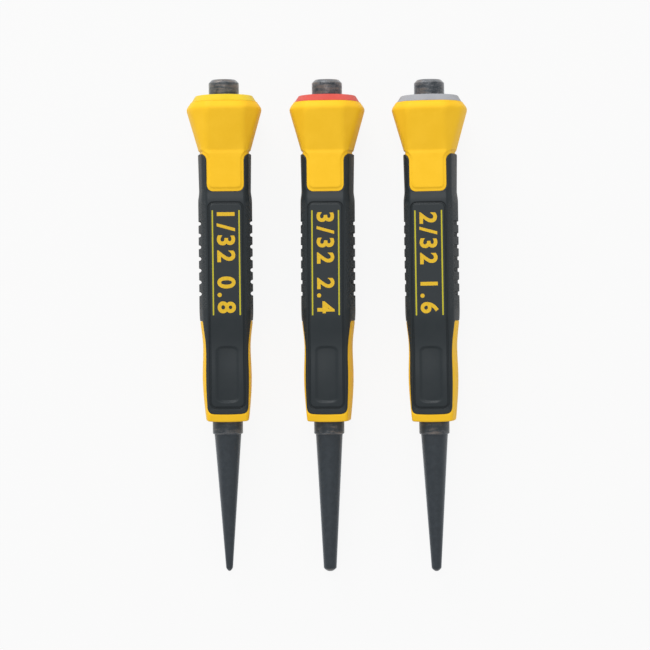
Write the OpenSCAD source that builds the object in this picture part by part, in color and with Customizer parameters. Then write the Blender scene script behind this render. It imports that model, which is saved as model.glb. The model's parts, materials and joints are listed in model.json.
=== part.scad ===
// Set of three nail setters that lie side by side, in millimetres.
// Each setter is a steel punch held in a rigid core, with a soft grip over
// the core and a coloured ring that tells the size of its tip.
// A setter is drawn upright: tip at z = 0, strike face up, front towards -Y.
// It is then turned a little about its axis and laid on its back, with its
// front up and its tip towards -Y, leaning a little in the row.

/* [Set] */
// Distance between the axes of neighbouring places in the row
setter_pitch = 27.3; // [24:0.1:40]
// Sideways place of the large setter between its neighbours
large_shift = -0.3; // [-1:0.1:1]
// Turn of the small setter about its axis
small_turn = 3; // [-12:0.5:12]
// Turn of the large setter about its axis
large_turn = -5.5; // [-12:0.5:12]
// Turn of the medium setter about its axis
medium_turn = -8.5; // [-12:0.5:12]
// Lean of the small setter in the row
small_lean = 0.7; // [-3:0.1:3]
// Lean of the large setter in the row
large_lean = 0.4; // [-3:0.1:3]
// Lean of the medium setter in the row
medium_lean = 0.9; // [-3:0.1:3]
// Gap between pieces that are moulded or pressed together
fit_gap = 0.03; // [0.01:0.01:0.1]

/* [Punch] */
// Diameter of the steel shank
shank_d = 8; // [7:0.1:8.6]
// Shank that stands out above the size ring
strike_out = 4.3; // [3:0.1:8]
// Bevel round the strike face
strike_bevel = 0.9; // [0.3:0.1:1.5]
// Shank that shows below the handle
collar_out = 3.3; // [2:0.1:6]
// Step in from the shank to the top of the taper
collar_step = 0.45; // [0.2:0.05:0.8]
// Length of the taper, with the tip
taper_len = 36.3; // [28:0.1:45]
// Diameter of the small tip's face
small_tip_d = 0.8; // [0.6:0.1:1.2]
// Diameter of the medium tip's face
medium_tip_d = 1.6; // [1.3:0.1:2]
// Diameter of the large tip's face
large_tip_d = 2.4; // [2.1:0.1:3.4]
// Bevel round a tip's face
tip_bevel = 0.5; // [0.2:0.05:0.6]
// Height of the bevel round a tip's face
tip_bevel_h = 0.9; // [0.4:0.1:1.5]
// Land left round the cup in a tip's face
tip_land = 0.12; // [0.08:0.01:0.2]
// Depth of the cup in a tip's face
tip_cup = 0.1; // [0.05:0.01:0.2]
// Number of retaining grooves round the shank
hold_count = 3; // [1:1:3]
// Distance between the retaining grooves
hold_pitch = 20; // [12:1:22]
// Height of the lowest retaining groove above the grip's lower end
hold_foot = 12; // [6:1:16]
// Width of a retaining groove
hold_w = 2; // [1.4:0.1:3]
// Depth of a retaining groove
hold_depth = 0.4; // [0.2:0.1:0.6]
// Length of the two flats that stop the shank from turning
key_len = 8; // [4:0.5:9]
// Depth of those flats
key_depth = 0.5; // [0.2:0.1:0.8]

/* [Size ring and guard] */
// Diameter of the size ring's round top
ring_top_d = 15.1; // [13:0.1:16]
// Width across the flats at the top of the guard
ring_w = 17.6; // [16.4:0.1:19]
// Step in from the guard to the size ring
ring_step = 0.15; // [0.05:0.05:0.3]
// Height of the size ring
ring_h = 1.6; // [1:0.1:3]
// Diameter of the ring's hub, which is pressed into the guard
hub_d = 11.4; // [10.6:0.1:12.5]
// Depth of the ring's hub in the guard
hub_h = 2.4; // [1.5:0.1:4]
// Width across the flats at the widest part of the guard
guard_w = 19.8; // [18:0.1:22]
// Height from the widest part of the guard to the size ring
shoulder_h = 1.9; // [1:0.1:3]
// Height of the flare below the widest part
flare_h = 10.9; // [7:0.1:14]
// Width across the flats at the lower end of the flare
flare_foot_w = 14.1; // [13.2:0.1:15]
// Width across the flats at the neck
neck_w = 13.1; // [12:0.1:14]
// Height of the neck below the flare
neck_h = 1.1; // [0.8:0.1:3]

/* [Core] */
// Diameter of the sleeve under the grip
sleeve_d = 10; // [9.6:0.1:10.6]
// Width of the tongues at the front and back
tongue_w = 9.4; // [7:0.1:10]
// Radius of a tongue's lower corners
tongue_r = 1.3; // [0.5:0.1:3]
// Height of a tongue's lower end above the step in the grip
tongue_rise = 0.15; // [0.1:0.05:4]
// Border round the raised face of a tongue
pad_border = 0.6; // [0.3:0.1:1]
// Height of the raised face of a tongue above its border
pad_raise = 0.25; // [0.1:0.05:0.5]
// Reach of the raised face into the flare
pad_bury = 1.5; // [1:0.1:3]
// Offset of the side bands' edges from the corners of the section
band_shift = 0.3; // [0:0.1:0.8]
// Distance from the barrel's lower end to the top of the side bands
band_drop = 2.8; // [1:0.1:5]
// Width of a side band at its top
band_top_w = 10; // [8:0.1:11]
// Height over which a side band widens
band_slope_h = 5.2; // [2:0.1:8]
// Height of the foot below the grip
foot_h = 2; // [1:0.1:4]
// Width across the flats above the foot's bevel
foot_w = 11.3; // [10.8:0.1:11.7]
// Bevel round the lower end of the foot
foot_bevel = 0.5; // [0.2:0.1:0.6]

/* [Grip] */
// Width of the flats at the front and back
flat_w = 9.8; // [8.4:0.1:10.2]
// Width of the flat in the middle of each side
side_flat_w = 3.2; // [2:0.1:6]
// Tilt of the faces next to that flat
side_tilt = 10; // [6:0.5:12]
// Width across the flats at the top of the ears
ear_w = 14.1; // [13.6:0.01:15]
// Width across the flats at the root of the ears
ear_root_w = 13.84; // [13.4:0.01:14.4]
// Height of the ears beside the tongues
ear_h = 10.1; // [7:0.1:14]
// Radius of the ears' inner corners
ear_r = 1.9; // [0.8:0.1:2]
// Height of the step from the ears to the barrel
step_h = 1.9; // [1:0.1:3]
// Width across the flats along the barrel
barrel_w = 14.34; // [13.8:0.01:15]
// Length of the barrel
barrel_h = 29.2; // [27:0.1:40]
// Width across the flats at the waist
waist_w = 12.71; // [12.2:0.01:13]
// Height from the waist to the barrel
waist_h = 10; // [8:0.1:14]
// Width across the flats at the swell below the waist
swell_w = 13.06; // [12.8:0.01:13.6]
// Height from the swell to the waist
swell_h = 7.5; // [5:0.1:10]
// Width across the flats at the grip's lower end
tail_w = 11.74; // [11.5:0.01:12.4]
// Height from the grip's lower end to the swell
tail_h = 9.9; // [7:0.1:14]
// Radius of the grip's lower corners
tail_r = 1.2; // [0.5:0.1:2]

/* [Panel, thumb rest and notches] */
// Width of the front and back panels, with their outline
panel_w = 9.6; // [8:0.1:9.7]
// Distance from the barrel's top to the panel
panel_drop = 0.7; // [0.3:0.1:3]
// Distance from the grip's lower end to the panel
panel_foot = 1.7; // [1:0.1:3]
// Corner radius of the panel
panel_r = 1.5; // [0.8:0.1:2.5]
// Width of the groove round the panel
groove_w = 0.9; // [0.3:0.1:1]
// Depth of the groove round the panel
groove_depth = 0.25; // [0.1:0.05:0.4]
// Width of the thumb rest
rest_w = 5.9; // [4:0.1:7]
// Length of the thumb rest
rest_len = 14.5; // [8:0.1:18]
// Corner radius of the thumb rest
rest_r = 0.9; // [0.5:0.1:2]
// Distance from the panel's lower edge to the thumb rest
rest_foot = 1.6; // [1:0.1:4]
// Depth of the thumb rest
rest_depth = 0.35; // [0.1:0.05:0.5]
// Number of notches on each side
notch_count = 7; // [3:1:8]
// Distance between the notches
notch_pitch = 3.1; // [2:0.1:3.2]
// Distance from the barrel's top to the first notch
notch_drop = 6.2; // [3:0.1:8]
// Radius of a notch
notch_r = 0.58; // [0.3:0.01:0.8]
// Depth of a notch
notch_depth = 0.5; // [0.2:0.05:0.6]

/* [Hidden] */
$fn = 64;
// Overlap of a cut past the face that it opens
over = 1;
// Width that the size ring's flats keep at its top, past the round
ring_blend = 0.3;
// Steps along each curved stretch of the handle's outline
curve_steps = 7;

// Heights above the tip
foot_z = taper_len + collar_out;
grip_z0 = foot_z + foot_h;
swell_z = grip_z0 + tail_h;
waist_z = swell_z + swell_h;
barrel_z0 = waist_z + waist_h;
barrel_z1 = barrel_z0 + barrel_h;
ear_z0 = barrel_z1 + step_h;
grip_z1 = ear_z0 + ear_h;
flare_z0 = grip_z1 + neck_h;
flare_z1 = flare_z0 + flare_h;
guard_z1 = flare_z1 + shoulder_h;
ring_z1 = guard_z1 + ring_h;
strike_z = ring_z1 + strike_out;
pad_z1 = flare_z0 + pad_bury;
tongue_z0 = ear_z0 + tongue_rise;
panel_z0 = grip_z0 + panel_foot;
panel_z1 = barrel_z1 - panel_drop;
rest_z0 = panel_z0 + rest_foot;
band_z0 = barrel_z0 - band_drop - band_slope_h;
band_z1 = barrel_z0 - band_drop;

// Radii of the punch
shank_r = shank_d / 2;
taper_r = shank_r - collar_step;
strike_r = shank_r - strike_bevel;

// Half width of the grip's lower end, between the side bands
strip_half = (tail_w + flat_w) / 4 - band_shift / 2;
// Half width of a side band where it has widened
band_half = (barrel_w + flat_w) / 4 + band_shift;
// Length of a cut or block that passes right through a handle
through = 2 * guard_w;

// Half widths of the handle, each as [height, half width], from the foot up
function rise(from, to, share) = from + (to - from) * (1 - cos(180 * share)) / 2;
function swelling(from, to, share) = from + (to - from) * sin(90 * share);
handle_outline = concat(
    [[foot_z, foot_w / 2 - foot_bevel], [foot_z + foot_bevel, foot_w / 2]],
    [for (i = [0:curve_steps - 1]) let (s = i / curve_steps)
        [grip_z0 + tail_h * s, swelling(tail_w / 2, swell_w / 2, s)]],
    [for (i = [0:curve_steps - 1]) let (s = i / curve_steps)
        [swell_z + swell_h * s, rise(swell_w / 2, waist_w / 2, s)]],
    [for (i = [0:curve_steps]) let (s = i / curve_steps)
        [waist_z + waist_h * s, rise(waist_w / 2, barrel_w / 2, s)]],
    [[barrel_z1, barrel_w / 2], [ear_z0, ear_root_w / 2], [grip_z1, ear_w / 2], [pad_z1, ear_w / 2]]
);
guard_outline = [
    [grip_z1, neck_w / 2], [flare_z0, flare_foot_w / 2],
    [flare_z1, guard_w / 2], [guard_z1, ring_w / 2]
];
ring_outline = [
    [guard_z1 + fit_gap, ring_w / 2 - ring_step], [ring_z1, (ring_top_d + ring_blend) / 2]
];

// Reach of a face with this half distance and width when it is turned about the axis
function turned(half, width, turn) = half * cos(turn) + width / 2 * abs(sin(turn));

// A setter lies on the widest part of its guard and on its grip
rest_slope = min([for (p = handle_outline) (guard_w / 2 - p[1]) / (flare_z1 - p[0])]);
function lie_angle(turn) = atan(rest_slope * cos(turn));
function lie_lift(turn) = turned(guard_w / 2, flat_w, turn) * cos(lie_angle(turn))
    - flare_z1 * sin(lie_angle(turn));
widest_tip_r = max(small_tip_d, medium_tip_d, large_tip_d) / 2;
lie_shift = (strike_z * cos(lie_angle(large_turn))
    + (strike_r - widest_tip_r) * sin(lie_angle(large_turn))) / 2;
// The row is centred between the sides of its outer guards
guard_y = flare_z1 - lie_shift;
small_reach = turned(guard_w / 2, side_flat_w, small_turn) + guard_y * sin(small_lean);
medium_reach = turned(guard_w / 2, side_flat_w, medium_turn) - guard_y * sin(medium_lean);
row_shift = (small_reach - medium_reach) / 2;

// Places of the setters in the row, each with its turn and lean
SMALL = [-setter_pitch, small_turn, small_lean];
LARGE = [large_shift, large_turn, large_lean];
MEDIUM = [setter_pitch, medium_turn, medium_lean];

// Turns an upright setter about its axis and lays it down at its place in the row
module laid(lie) {
    turn = lie[1];
    translate([lie[0] + row_shift, 0, lie_lift(turn)]) rotate([0, 0, lie[2]])
        translate([0, -lie_shift, 0]) rotate([lie_angle(turn) - 90, 0, 0]) rotate([0, 0, turn]) children();
}

// Turns a drawing in x and z into a block along y
module depthwise() {
    rotate([90, 0, 0]) linear_extrude(height = through, center = true) children();
}

// Turns a drawing in y and z into a block along x
module sideways() {
    rotate([0, 0, 90]) depthwise() children();
}

// Half width of the section, measured square to the face at this turn
function reach(half, turn) = turn % 90 == 0 ? half
    : abs(turn) == side_tilt ? turned(half, side_flat_w, side_tilt)
    : (half + flat_w / 2) / sqrt(2);

// Many-sided form whose faces follow an outline, grown by a distance
module many_sided(outline, grow = 0) {
    intersection_for(turn = [-side_tilt, 0, side_tilt, 45, 90, 135])
        rotate([0, 0, turn]) depthwise() polygon(concat(
            [for (p = outline) [reach(p[1], turn) + grow, p[0]]],
            [for (i = [len(outline) - 1:-1:0]) [-reach(outline[i][1], turn) - grow, outline[i][0]]]
        ));
}

// Rectangle with round corners, from its lower left corner
module round_box(size, r) {
    translate([r, 0]) square([size[0] - 2 * r, size[1]]);
    translate([0, r]) square([size[0], size[1] - 2 * r]);
    for (x = [r, size[0] - r], y = [r, size[1] - r]) translate([x, y]) circle(r);
}

// Block with round lower corners and a square top, between two heights
module round_foot(half, z0, z1, r) {
    translate([-half, z0 + r]) square([2 * half, z1 - z0 - r]);
    translate([r - half, z0]) square([2 * (half - r), 2 * r]);
    for (side = [-1, 1]) translate([side * (half - r), z0 + r]) circle(r);
}

// Steel shank above the taper, with its retaining grooves and flats, grown for its bore
module shank(grow = 0, z0 = taper_len, z1 = strike_z) {
    r = shank_r + grow;
    slope = grow * tan(22.5);
    grooves = [for (i = [0:hold_count - 1]) grip_z0 + hold_foot + i * hold_pitch];
    difference() {
        rotate_extrude() polygon(concat(
            [[0, z0], [r, z0]],
            [for (z = grooves, p = [
                [r, z - hold_w / 2 + slope],
                [r - hold_depth, z - hold_w / 2 + hold_depth + slope],
                [r - hold_depth, z + hold_w / 2 - hold_depth - slope],
                [r, z + hold_w / 2 - slope]
            ]) p],
            [[r, z1], [0, z1]]
        ));
        for (side = [-1, 1])
            translate([side * (r - key_depth + shank_d), 0, grip_z1 - key_len / 2])
                cube([2 * shank_d, 2 * shank_d, key_len - 2 * grow], center = true);
    }
}

// Steel punch with a cupped tip
module punch(tip_d) {
    tip_r = tip_d / 2;
    cup_r = tip_r - tip_land;
    cup_ball_r = (pow(cup_r, 2) + pow(tip_cup, 2)) / (2 * tip_cup);
    color([0.23, 0.24, 0.26]) difference() {
        union() {
            intersection() {
                shank();
                rotate_extrude() polygon([
                    [0, taper_len], [shank_r, taper_len],
                    [shank_r, strike_z - strike_bevel], [strike_r, strike_z], [0, strike_z]
                ]);
            }
            rotate_extrude() polygon([
                [0, 0], [tip_r, 0], [tip_r + tip_bevel, tip_bevel_h], [taper_r, taper_len],
                [0, taper_len]
            ]);
        }
        translate([0, 0, tip_cup - cup_ball_r]) sphere(cup_ball_r);
    }
}

// Drawing of a tongue, with the corners that it fills between the ears, grown by a distance
// and taken further up
module tongue_form(grow = 0, above = 0) {
    bend_r = ear_r - grow;
    top = grip_z1 - grow + above;
    round_foot(tongue_w / 2 + grow, tongue_z0 - grow, top, max(tongue_r + grow, fit_gap));
    for (side = [-1, 1]) translate([side * (tongue_w / 2 + ear_r), grip_z1 - ear_r]) difference() {
        translate([side > 0 ? -bend_r - over : 0, 0]) square([bend_r + over, bend_r + above]);
        circle(bend_r);
    }
}

// Drawing of the raised face of a tongue, which widens upwards and runs into the flare
module pad_form() {
    top_w = tongue_w + 2 * ear_r;
    top_z0 = grip_z1 + pad_border;
    tongue_form(-pad_border);
    translate([-top_w / 2, top_z0]) square([top_w, pad_z1 - top_z0]);
}

// Block of the two side bands, grown by a distance
module side_bands(grow = 0) {
    shift = band_shift + grow * sqrt(2);
    top = band_z1 + grow;
    top_half = band_top_w / 2 + grow;
    far = through / 2;
    intersection() {
        translate([0, 0, foot_z]) linear_extrude(height = top - foot_z) polygon([
            [0, shift], [far, far + shift], [far, -far - shift],
            [0, -shift], [-far, -far - shift], [-far, far + shift]
        ]);
        sideways() polygon([
            [-top_half, top], [top_half, top], [band_half + grow, band_z0], [far, foot_z],
            [-far, foot_z], [-band_half - grow, band_z0]
        ]);
    }
}

// Fills of the foot round the grip's lower corners, grown by a distance
module tail_fills(grow = 0) {
    fill = tail_r + over;
    for (side = [-1, 1]) translate([side * (strip_half - tail_r), grip_z0 + tail_r]) difference() {
        translate([side > 0 ? 0 : -fill, -fill]) square([fill, fill]);
        circle(tail_r - grow);
    }
}

// Parts of the core that show through the grip, grown by a distance
module shown_core(grow = 0) {
    depthwise() tongue_form(grow, over);
    side_bands(grow);
    depthwise() tail_fills(grow);
}

// Slab of a setter between two heights
module slab(z0, z1) {
    translate([-through / 2, -through / 2, z0]) cube([through, through, z1 - z0]);
}

// Rigid core: guard, neck, tongues, sleeve, side bands and foot
module core() {
    color([0.94, 0.66, 0.05]) difference() {
        union() {
            many_sided(guard_outline);
            translate([0, 0, foot_z]) cylinder(h = grip_z1 + over - foot_z, d = sleeve_d);
            intersection() {
                many_sided(handle_outline, -pad_raise);
                depthwise() tongue_form();
            }
            intersection() {
                many_sided(handle_outline);
                union() {
                    depthwise() pad_form();
                    side_bands();
                    depthwise() tail_fills();
                    slab(foot_z - over, grip_z0);
                }
            }
        }
        shank(fit_gap, foot_z - over, strike_z);
        translate([0, 0, guard_z1 - hub_h - fit_gap]) cylinder(h = hub_h + over, d = hub_d + 2 * fit_gap);
    }
}

// Layer under the handle's surface, down to a depth
module skin(depth) {
    difference() {
        many_sided(handle_outline, over);
        many_sided(handle_outline, -depth);
    }
}

// Groove round the front and back panels
module panel_grooves() {
    size = [panel_w, panel_z1 - panel_z0];
    inner = [size[0] - 2 * groove_w, size[1] - 2 * groove_w];
    intersection() {
        depthwise() translate([-panel_w / 2, panel_z0]) difference() {
            round_box(size, panel_r);
            translate([groove_w, groove_w]) round_box(inner, panel_r - groove_w);
        }
        skin(groove_depth);
    }
}

// Hollows of the front and back thumb rests
module thumb_rests() {
    intersection() {
        depthwise() translate([-rest_w / 2, rest_z0]) round_box([rest_w, rest_len], rest_r);
        skin(rest_depth);
    }
}

// Notches across both sides of the barrel
module notches() {
    centre_x = barrel_w / 2 + notch_r - notch_depth;
    for (side = [-1, 1], i = [0:notch_count - 1])
        translate([side * centre_x, 0, barrel_z1 - notch_drop - i * notch_pitch])
            rotate([90, 0, 0]) cylinder(h = through, r = notch_r, center = true);
}

// Soft grip, moulded over the core
module grip() {
    color([0.16, 0.17, 0.18]) difference() {
        intersection() {
            many_sided(handle_outline);
            slab(grip_z0 + fit_gap, grip_z1 - fit_gap);
        }
        translate([0, 0, foot_z]) cylinder(h = ring_z1 - foot_z, d = sleeve_d + 2 * fit_gap);
        shown_core(fit_gap);
        panel_grooves();
        thumb_rests();
        notches();
    }
}

// Size ring with its hub, many-sided at the guard and round at the top
module size_ring(tint) {
    color(tint) difference() {
        union() {
            intersection() {
                many_sided(ring_outline);
                translate([0, 0, guard_z1]) cylinder(h = ring_h, d1 = guard_w + 2 * over, d2 = ring_top_d);
            }
            translate([0, 0, guard_z1 - hub_h]) cylinder(h = hub_h + ring_h / 2, d = hub_d);
        }
        shank(fit_gap, foot_z, strike_z);
    }
}

laid(SMALL) punch(small_tip_d);  // small_punch
laid(SMALL) core();  // small_core
laid(SMALL) grip();  // small_grip
laid(SMALL) size_ring([0.95, 0.72, 0.12]);  // small_size_ring
laid(LARGE) punch(large_tip_d);  // large_punch
laid(LARGE) core();  // large_core
laid(LARGE) grip();  // large_grip
laid(LARGE) size_ring([0.82, 0.14, 0.12]);  // large_size_ring
laid(MEDIUM) punch(medium_tip_d);  // medium_punch
laid(MEDIUM) core();  // medium_core
laid(MEDIUM) grip();  // medium_grip
laid(MEDIUM) size_ring([0.5, 0.5, 0.52]);  // medium_size_ring
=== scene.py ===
"""Dressed set of three nail setters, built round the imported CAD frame.

A setter is drawn upright in millimetres, tip at z = 0 and front towards -Y. Its finished meshes
are then laid in the row frame, in metres, by the places of its tip and strike face.
"""

import json
import logging
import math
from collections.abc import Iterable, Sequence
from dataclasses import dataclass, field
from enum import Enum
from typing import Any, Optional, Union

import bmesh
import bpy
import numpy as np
from mathutils import Matrix, Vector


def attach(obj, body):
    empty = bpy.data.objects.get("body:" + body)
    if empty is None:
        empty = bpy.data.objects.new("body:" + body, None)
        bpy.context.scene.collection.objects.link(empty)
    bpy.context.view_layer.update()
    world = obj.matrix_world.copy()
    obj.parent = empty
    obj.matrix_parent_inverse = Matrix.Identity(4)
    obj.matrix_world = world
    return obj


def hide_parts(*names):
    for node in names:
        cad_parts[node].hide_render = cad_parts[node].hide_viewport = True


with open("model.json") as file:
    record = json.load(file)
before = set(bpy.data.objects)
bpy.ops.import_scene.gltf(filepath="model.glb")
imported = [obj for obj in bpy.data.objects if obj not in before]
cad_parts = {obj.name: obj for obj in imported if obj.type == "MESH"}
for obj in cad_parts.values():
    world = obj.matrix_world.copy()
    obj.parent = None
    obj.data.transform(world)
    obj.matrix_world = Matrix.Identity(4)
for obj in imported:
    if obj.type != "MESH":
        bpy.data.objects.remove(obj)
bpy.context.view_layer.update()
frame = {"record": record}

LOG = logging.getLogger("nail_setters")
MM = 0.001
TINY = 1e-6
EIGHTH = math.pi / 4
CORNER_TAN = math.tan(EIGHTH / 2)
Rgb = tuple[float, float, float]
Faces = list[Sequence[int]]
Values = Union[np.ndarray, float]
Amount = Union["Signal", float]
Colour = Union["Signal", Rgb]


class Setter(Enum):
    """The three setters, each with what tells it apart."""

    SMALL = ("small", 1, 0.8, 3.0, "ring_yellow")
    LARGE = ("large", 3, 2.4, -5.5, "ring_red")
    MEDIUM = ("medium", 2, 1.6, -8.5, "ring_grey")

    def __init__(self, label: str, inch_parts: int, tip_d: float, turn: float, ring_slot: str) -> None:
        """Names the values.

        Args:
            label: name that its CAD nodes start with.
            inch_parts: size of its tip in thirty-seconds of an inch.
            tip_d: diameter of its tip's face in millimetres.
            turn: turn about its own axis in degrees.
            ring_slot: slot of its size ring.
        """
        self.label = label
        self.inch_parts = inch_parts
        self.tip_d = tip_d
        self.turn = turn
        self.ring_slot = ring_slot

    @property
    def body(self) -> str:
        """Name of its CAD body."""
        return f"{self.label}_setter"

    @property
    def marks(self) -> tuple[str, str]:
        """Size of its tip in inches and in millimetres, as printed on the panel."""
        return f"{self.inch_parts}/32", f"{self.tip_d}"

    def lay(self) -> Matrix:
        """Finds where the setter lies in the row.

        Returns:
            The matrix from upright millimetres to the row frame in metres.
        """
        places = {m["name"]: Vector(m["pos_m"]) for m in frame["record"]["mounts"]}
        tip = places[f"{self.label}_tip"]
        axis = (places[f"{self.label}_strike_face"] - tip).normalized()
        across = axis.cross(Vector((0, 0, 1))).normalized()
        back = axis.cross(across)
        place = Matrix((across, back, axis)).transposed().to_4x4()
        turned = place @ Matrix.Rotation(math.radians(self.turn), 4, "Z")
        return Matrix.Translation(tip) @ turned @ Matrix.Scale(MM, 4)


class Signal:
    """A node's output that takes part in Python arithmetic."""

    def __init__(self, board: "Board", socket: Optional[bpy.types.NodeSocket]) -> None:
        """Wraps an output socket of a board's tree."""
        self.board = board
        self.socket = socket

    def other(self, output: Union[str, int]) -> "Signal":
        """Another output of the same node."""
        return Signal(self.board, self.socket.node.outputs[output])

    def math(self, operation: str, *others: Amount, flip: bool = False) -> "Signal":
        """Adds a Math node.

        Args:
            operation: name of the Math node's operation.
            others: the other values, in order.
            flip: True to put this value last.

        Returns:
            The node's result.
        """
        values = [*others, self] if flip else [self, *others]
        return self.board.node("ShaderNodeMath", dict(enumerate(values)), operation=operation)

    def __add__(self, other: Amount) -> "Signal":
        """Sum."""
        return self.math("ADD", other)

    __radd__ = __add__

    def __sub__(self, other: Amount) -> "Signal":
        """Difference."""
        return self.math("SUBTRACT", other)

    def __rsub__(self, other: float) -> "Signal":
        """Difference from a number."""
        return self.math("SUBTRACT", other, flip=True)

    def __mul__(self, other: Amount) -> "Signal":
        """Product."""
        return self.math("MULTIPLY", other)

    __rmul__ = __mul__

    def __truediv__(self, other: Amount) -> "Signal":
        """Quotient."""
        return self.math("DIVIDE", other)

    def __rtruediv__(self, other: float) -> "Signal":
        """Number divided by this."""
        return self.math("DIVIDE", other, flip=True)

    def __abs__(self) -> "Signal":
        """Size without sign."""
        return self.math("ABSOLUTE")


class Board:
    """A node tree and the one way that nodes are added to it."""

    def __init__(self, tree: bpy.types.NodeTree) -> None:
        """Takes a tree."""
        self.tree = tree

    def node(
        self,
        kind: str,
        inputs: Optional[dict[Union[str, int], Any]] = None,
        output: Union[str, int] = 0,
        **settings: Any,
    ) -> Signal:
        """Adds a node.

        Args:
            kind: the node's type.
            inputs: values or links, by socket name or number.
            output: the output to return.
            settings: properties of the node, which are set before its inputs.

        Returns:
            The chosen output, which is empty for a node without outputs.
        """
        made = self.tree.nodes.new(kind)
        for key, value in settings.items():
            setattr(made, key, value)
        for key, value in (inputs or {}).items():
            if isinstance(value, Signal):
                self.tree.links.new(value.socket, made.inputs[key])
            else:
                made.inputs[key].default_value = value
        return Signal(self, made.outputs[output] if len(made.outputs) else None)

    def smooth(self, value: Signal, low: Amount, high: Amount) -> Signal:
        """Smooth step of a value from 0 at low to 1 at high."""
        ends = {"Value": value, "From Min": low, "From Max": high}
        return self.node("ShaderNodeMapRange", ends, interpolation_type="SMOOTHSTEP")

    def mix(self, share: Amount, first: Colour, second: Colour) -> Signal:
        """Mix of two colours."""
        sides = [c if isinstance(c, Signal) else (*c, 1.0) for c in (first, second)]
        return self.node("ShaderNodeMix", {0: share, 6: sides[0], 7: sides[1]}, 2, data_type="RGBA")


def emptied(owner: Union[bpy.types.Material, bpy.types.World]) -> bpy.types.NodeTree:
    """Empties the node tree of a material or a world.

    Args:
        owner: the material or the world.

    Returns:
        The tree.
    """
    owner.use_nodes = True
    owner.node_tree.nodes.clear()
    return owner.node_tree


class Paint(Board):
    """A material's tree with a Principled shader, and the patterns that feed it."""

    def __init__(self, name: str) -> None:
        """Starts the material and its coordinates in millimetres.

        Args:
            name: the material's name.
        """
        self.material = bpy.data.materials.new(name)
        super().__init__(emptied(self.material))
        place = self.node("ShaderNodeTexCoord", output="Object")
        self.place = self.stretched(place, (1 / MM, 1 / MM, 1 / MM))

    def stretched(self, place: Signal, times: tuple[float, float, float]) -> Signal:
        """Coordinates multiplied along each axis."""
        return self.node("ShaderNodeVectorMath", {0: place, 1: times}, operation="MULTIPLY")

    def noise(
        self,
        scale: float,
        detail: float = 3.0,
        rough: float = 0.5,
        warp: float = 0.0,
        place: Optional[Signal] = None,
    ) -> Signal:
        """Adds noise.

        Args:
            scale: turns per millimetre.
            detail: number of finer layers.
            rough: strength of each finer layer.
            warp: distortion.
            place: its coordinates, where they aren't the usual ones.

        Returns:
            Noise around 0.5.
        """
        values = {"Vector": place or self.place, "Scale": scale, "Detail": detail}
        values |= {"Roughness": rough, "Distortion": warp}
        return self.node("ShaderNodeTexNoise", values, "Fac")

    def streaks(self, scale: float, length: float) -> Signal:
        """Noise around 0.5 that is drawn out across a setter's length by a number of times."""
        drawn = self.stretched(self.place, (scale / length, scale, scale / length))
        return self.noise(1.0, 4.0, place=drawn)

    def cells(self, scale: float) -> Signal:
        """Distance to the nearest of scattered points, with a scale in points per millimetre."""
        return self.node("ShaderNodeTexVoronoi", {"Vector": self.place, "Scale": scale}, "Distance")

    def mask(self, name: str) -> Signal:
        """A piece's own painted mask."""
        return self.node("ShaderNodeAttribute", output="Fac", attribute_name=name)

    def bump(self, height: Signal, strength: float, depth_mm: float) -> Signal:
        """Normal from a height between 0 and 1 that stands for a depth in millimetres."""
        values = {"Strength": strength, "Distance": depth_mm * MM, "Height": height}
        return self.node("ShaderNodeBump", values)

    def finish(self, fixed: dict[str, Any], varied: dict[str, Signal]) -> bpy.types.Material:
        """Adds the shader and closes the material.

        Args:
            fixed: values set on the shader's own sockets.
            varied: what changes over the surface.

        Returns:
            The material.
        """
        shader = self.node("ShaderNodeBsdfPrincipled", {**fixed, **varied})
        self.node("ShaderNodeOutputMaterial", {"Surface": shader})
        return self.material


@dataclass(frozen=True)
class MouldedPlastic:
    """Satin moulded plastic with a fine eroded texture."""

    name: str
    colour: Rgb
    shade: Rgb
    roughness: float = 0.4
    texture: float = 0.35
    texture_mm: float = 0.02
    gloss: float = 0.05
    ior: float = 1.48
    cloud_scale: float = 0.22
    ripple_scale: float = 1.6
    grain_scale: float = 5.5

    def material(self) -> bpy.types.Material:
        """Makes the material.

        Returns:
            The material.
        """
        paint = Paint(self.name)
        clouds = paint.noise(self.cloud_scale, 3.0, 0.55)
        ripple = paint.noise(self.ripple_scale, 1.0)
        grain = paint.noise(self.grain_scale, 2.0, 0.6)
        share = paint.smooth(clouds * 0.8 + grain * 0.2, 0.35, 0.7)
        colour = paint.mix(share, self.shade, self.colour)
        rough = self.roughness + (clouds - 0.5) * 0.14 + (grain - 0.5) * 0.08
        normal = paint.bump(grain * 0.75 + ripple * 0.25, self.texture, self.texture_mm)
        fixed = {"IOR": self.ior, "Specular IOR Level": self.gloss}
        return paint.finish(fixed, {"Base Color": colour, "Roughness": rough, "Normal": normal})


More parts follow.
